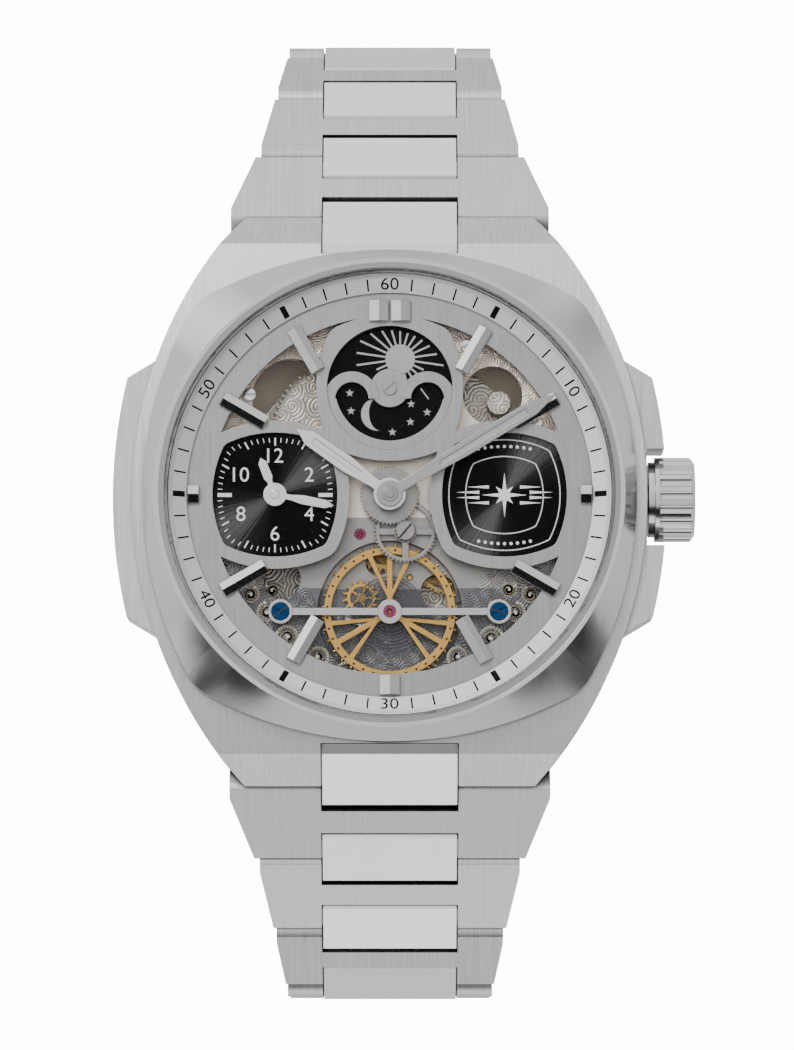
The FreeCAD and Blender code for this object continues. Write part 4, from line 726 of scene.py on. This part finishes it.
def key_light():
    """A small softbox above the dial's 10 o'clock side, aimed at the case."""
    data = bpy.data.lights.new("key", "AREA")
    data.shape, data.size, data.size_y = "RECTANGLE", 0.12, 0.12
    data.energy = 1.0
    item = bpy.data.objects.new("key", data)
    bpy.context.scene.collection.objects.link(item)
    item.location = (-0.18, 0.26, 0.5)
    item.rotation_euler = (-item.location).to_track_quat("-Z", "Y").to_euler()


TENT_LEVEL = 0.9
TENT = (  # direction, how narrow, how much lighter or darker
    ((0.0, 0.0, 1.0), 6, 0.2),
    ((0.0, 0.98, 0.15), 6, 0.75),
    ((0.0, -0.97, 0.25), 10, 1.05),
    ((-0.7, 0.55, 0.45), 8, 1.2),
    ((0.0, 0.5, 0.86), 10, 0.35),
    ((0.9, 0.2, 0.4), 6, -0.35),
    ((-0.98, 0.0, 0.15), 8, 1.3),
    ((0.98, 0.0, 0.15), 8, -0.3),
    ((0.74, -0.66, 0.12), 12, -0.95),
    ((-0.74, -0.66, 0.12), 14, -1.4),
)
CARD_HEIGHT = (0.53, 0.6, 0.86, 0.95)  # sines of the elevations between which the dark card fades in and out
CARD_SIDE = (0.3, 0.7)  # how squarely a direction faces 6 o'clock where the card begins and is full
CARD_DEPTH = 0.99


def studio():
    """A light tent with a dark card low on the 6 o'clock side, which polished facets pick up."""
    world = bpy.data.worlds.new("studio")
    bpy.context.scene.world = world
    world.use_nodes = True
    nodes_of, links = world.node_tree.nodes, world.node_tree.links
    direction = nodes_of.new("ShaderNodeTexCoord").outputs["Generated"]

    def step(operation, *values):
        node = nodes_of.new("ShaderNodeMath")
        node.operation = operation
        for socket, value in zip(node.inputs, values):
            if isinstance(value, (int, float)):
                socket.default_value = value
            else:
                links.new(value, socket)
        return node.outputs[0]

    def soft(value, low, high):
        node = nodes_of.new("ShaderNodeMapRange")
        node.interpolation_type = "SMOOTHSTEP"
        node.inputs["From Min"].default_value = low
        node.inputs["From Max"].default_value = high
        links.new(value, node.inputs["Value"])
        return node.outputs["Result"]

    level = TENT_LEVEL
    for aim, narrow, amount in TENT:
        dot = nodes_of.new("ShaderNodeVectorMath")
        dot.operation = "DOT_PRODUCT"
        links.new(direction, dot.inputs[0])
        dot.inputs[1].default_value = Vector(aim).normalized()
        lobe = step("POWER", step("MAXIMUM", dot.outputs["Value"], 0.0), narrow)
        level = step("ADD", level, step("MULTIPLY", lobe, amount))
    parts = nodes_of.new("ShaderNodeSeparateXYZ")
    links.new(direction, parts.inputs[0])
    rise_squared = step("MULTIPLY", parts.outputs["Z"], parts.outputs["Z"])
    flat_length = step("SQRT", step("SUBTRACT", 1.0001, rise_squared))
    south = step("DIVIDE", step("MULTIPLY", parts.outputs["Y"], -1.0), flat_length)
    rise = soft(parts.outputs["Z"], *CARD_HEIGHT[:2])
    fall = step("SUBTRACT", 1.0, soft(parts.outputs["Z"], *CARD_HEIGHT[2:]))
    card = step("MULTIPLY", step("MULTIPLY", rise, fall), soft(south, *CARD_SIDE))
    level = step("MULTIPLY", level, step("SUBTRACT", 1.0, step("MULTIPLY", card, CARD_DEPTH)))
    nodes_of["Background"].inputs["Color"].default_value = (1, 1, 1, 1)
    links.new(step("MAXIMUM", level, 0.01), nodes_of["Background"].inputs["Strength"])


def floor():
    """A cream sweep that looks lit from within, so that it stays paler than anything on it."""
    mesh = bpy.data.meshes.new("floor")
    corners = ((-1, -1), (1, -1), (1, 1), (-1, 1))
    mesh.from_pydata([(x, y, FLOOR_LEVEL * MM) for x, y in corners], [], [(0, 1, 2, 3)])
    paper = flat("floor_cream", (0.9, 0.89, 0.87), 0.7)
    glow = paper.add("ShaderNodeEmission")
    glow.inputs["Color"].default_value = (1.0, 0.97, 0.9, 1)
    glow.inputs["Strength"].default_value = 16.0
    seen = paper.add("ShaderNodeLightPath").outputs["Is Camera Ray"]
    mix = paper.add("ShaderNodeMixShader")
    paper.link(paper.math("MULTIPLY", seen, 0.9), mix.inputs["Fac"])
    paper.link(paper.surface.outputs[0], mix.inputs[1])
    paper.link(glow.outputs[0], mix.inputs[2])
    paper.link(mix.outputs[0], paper.output.inputs["Surface"])
    mesh.materials.append(paper.material)
    item = bpy.data.objects.new("floor", mesh)
    bpy.context.scene.collection.objects.link(item)


minute_track()
dual_dial()
emblem_dial()
sun_and_moon()
screw_slots()
balance_dots()
scrolls()
camera()
studio()
key_light()
floor()
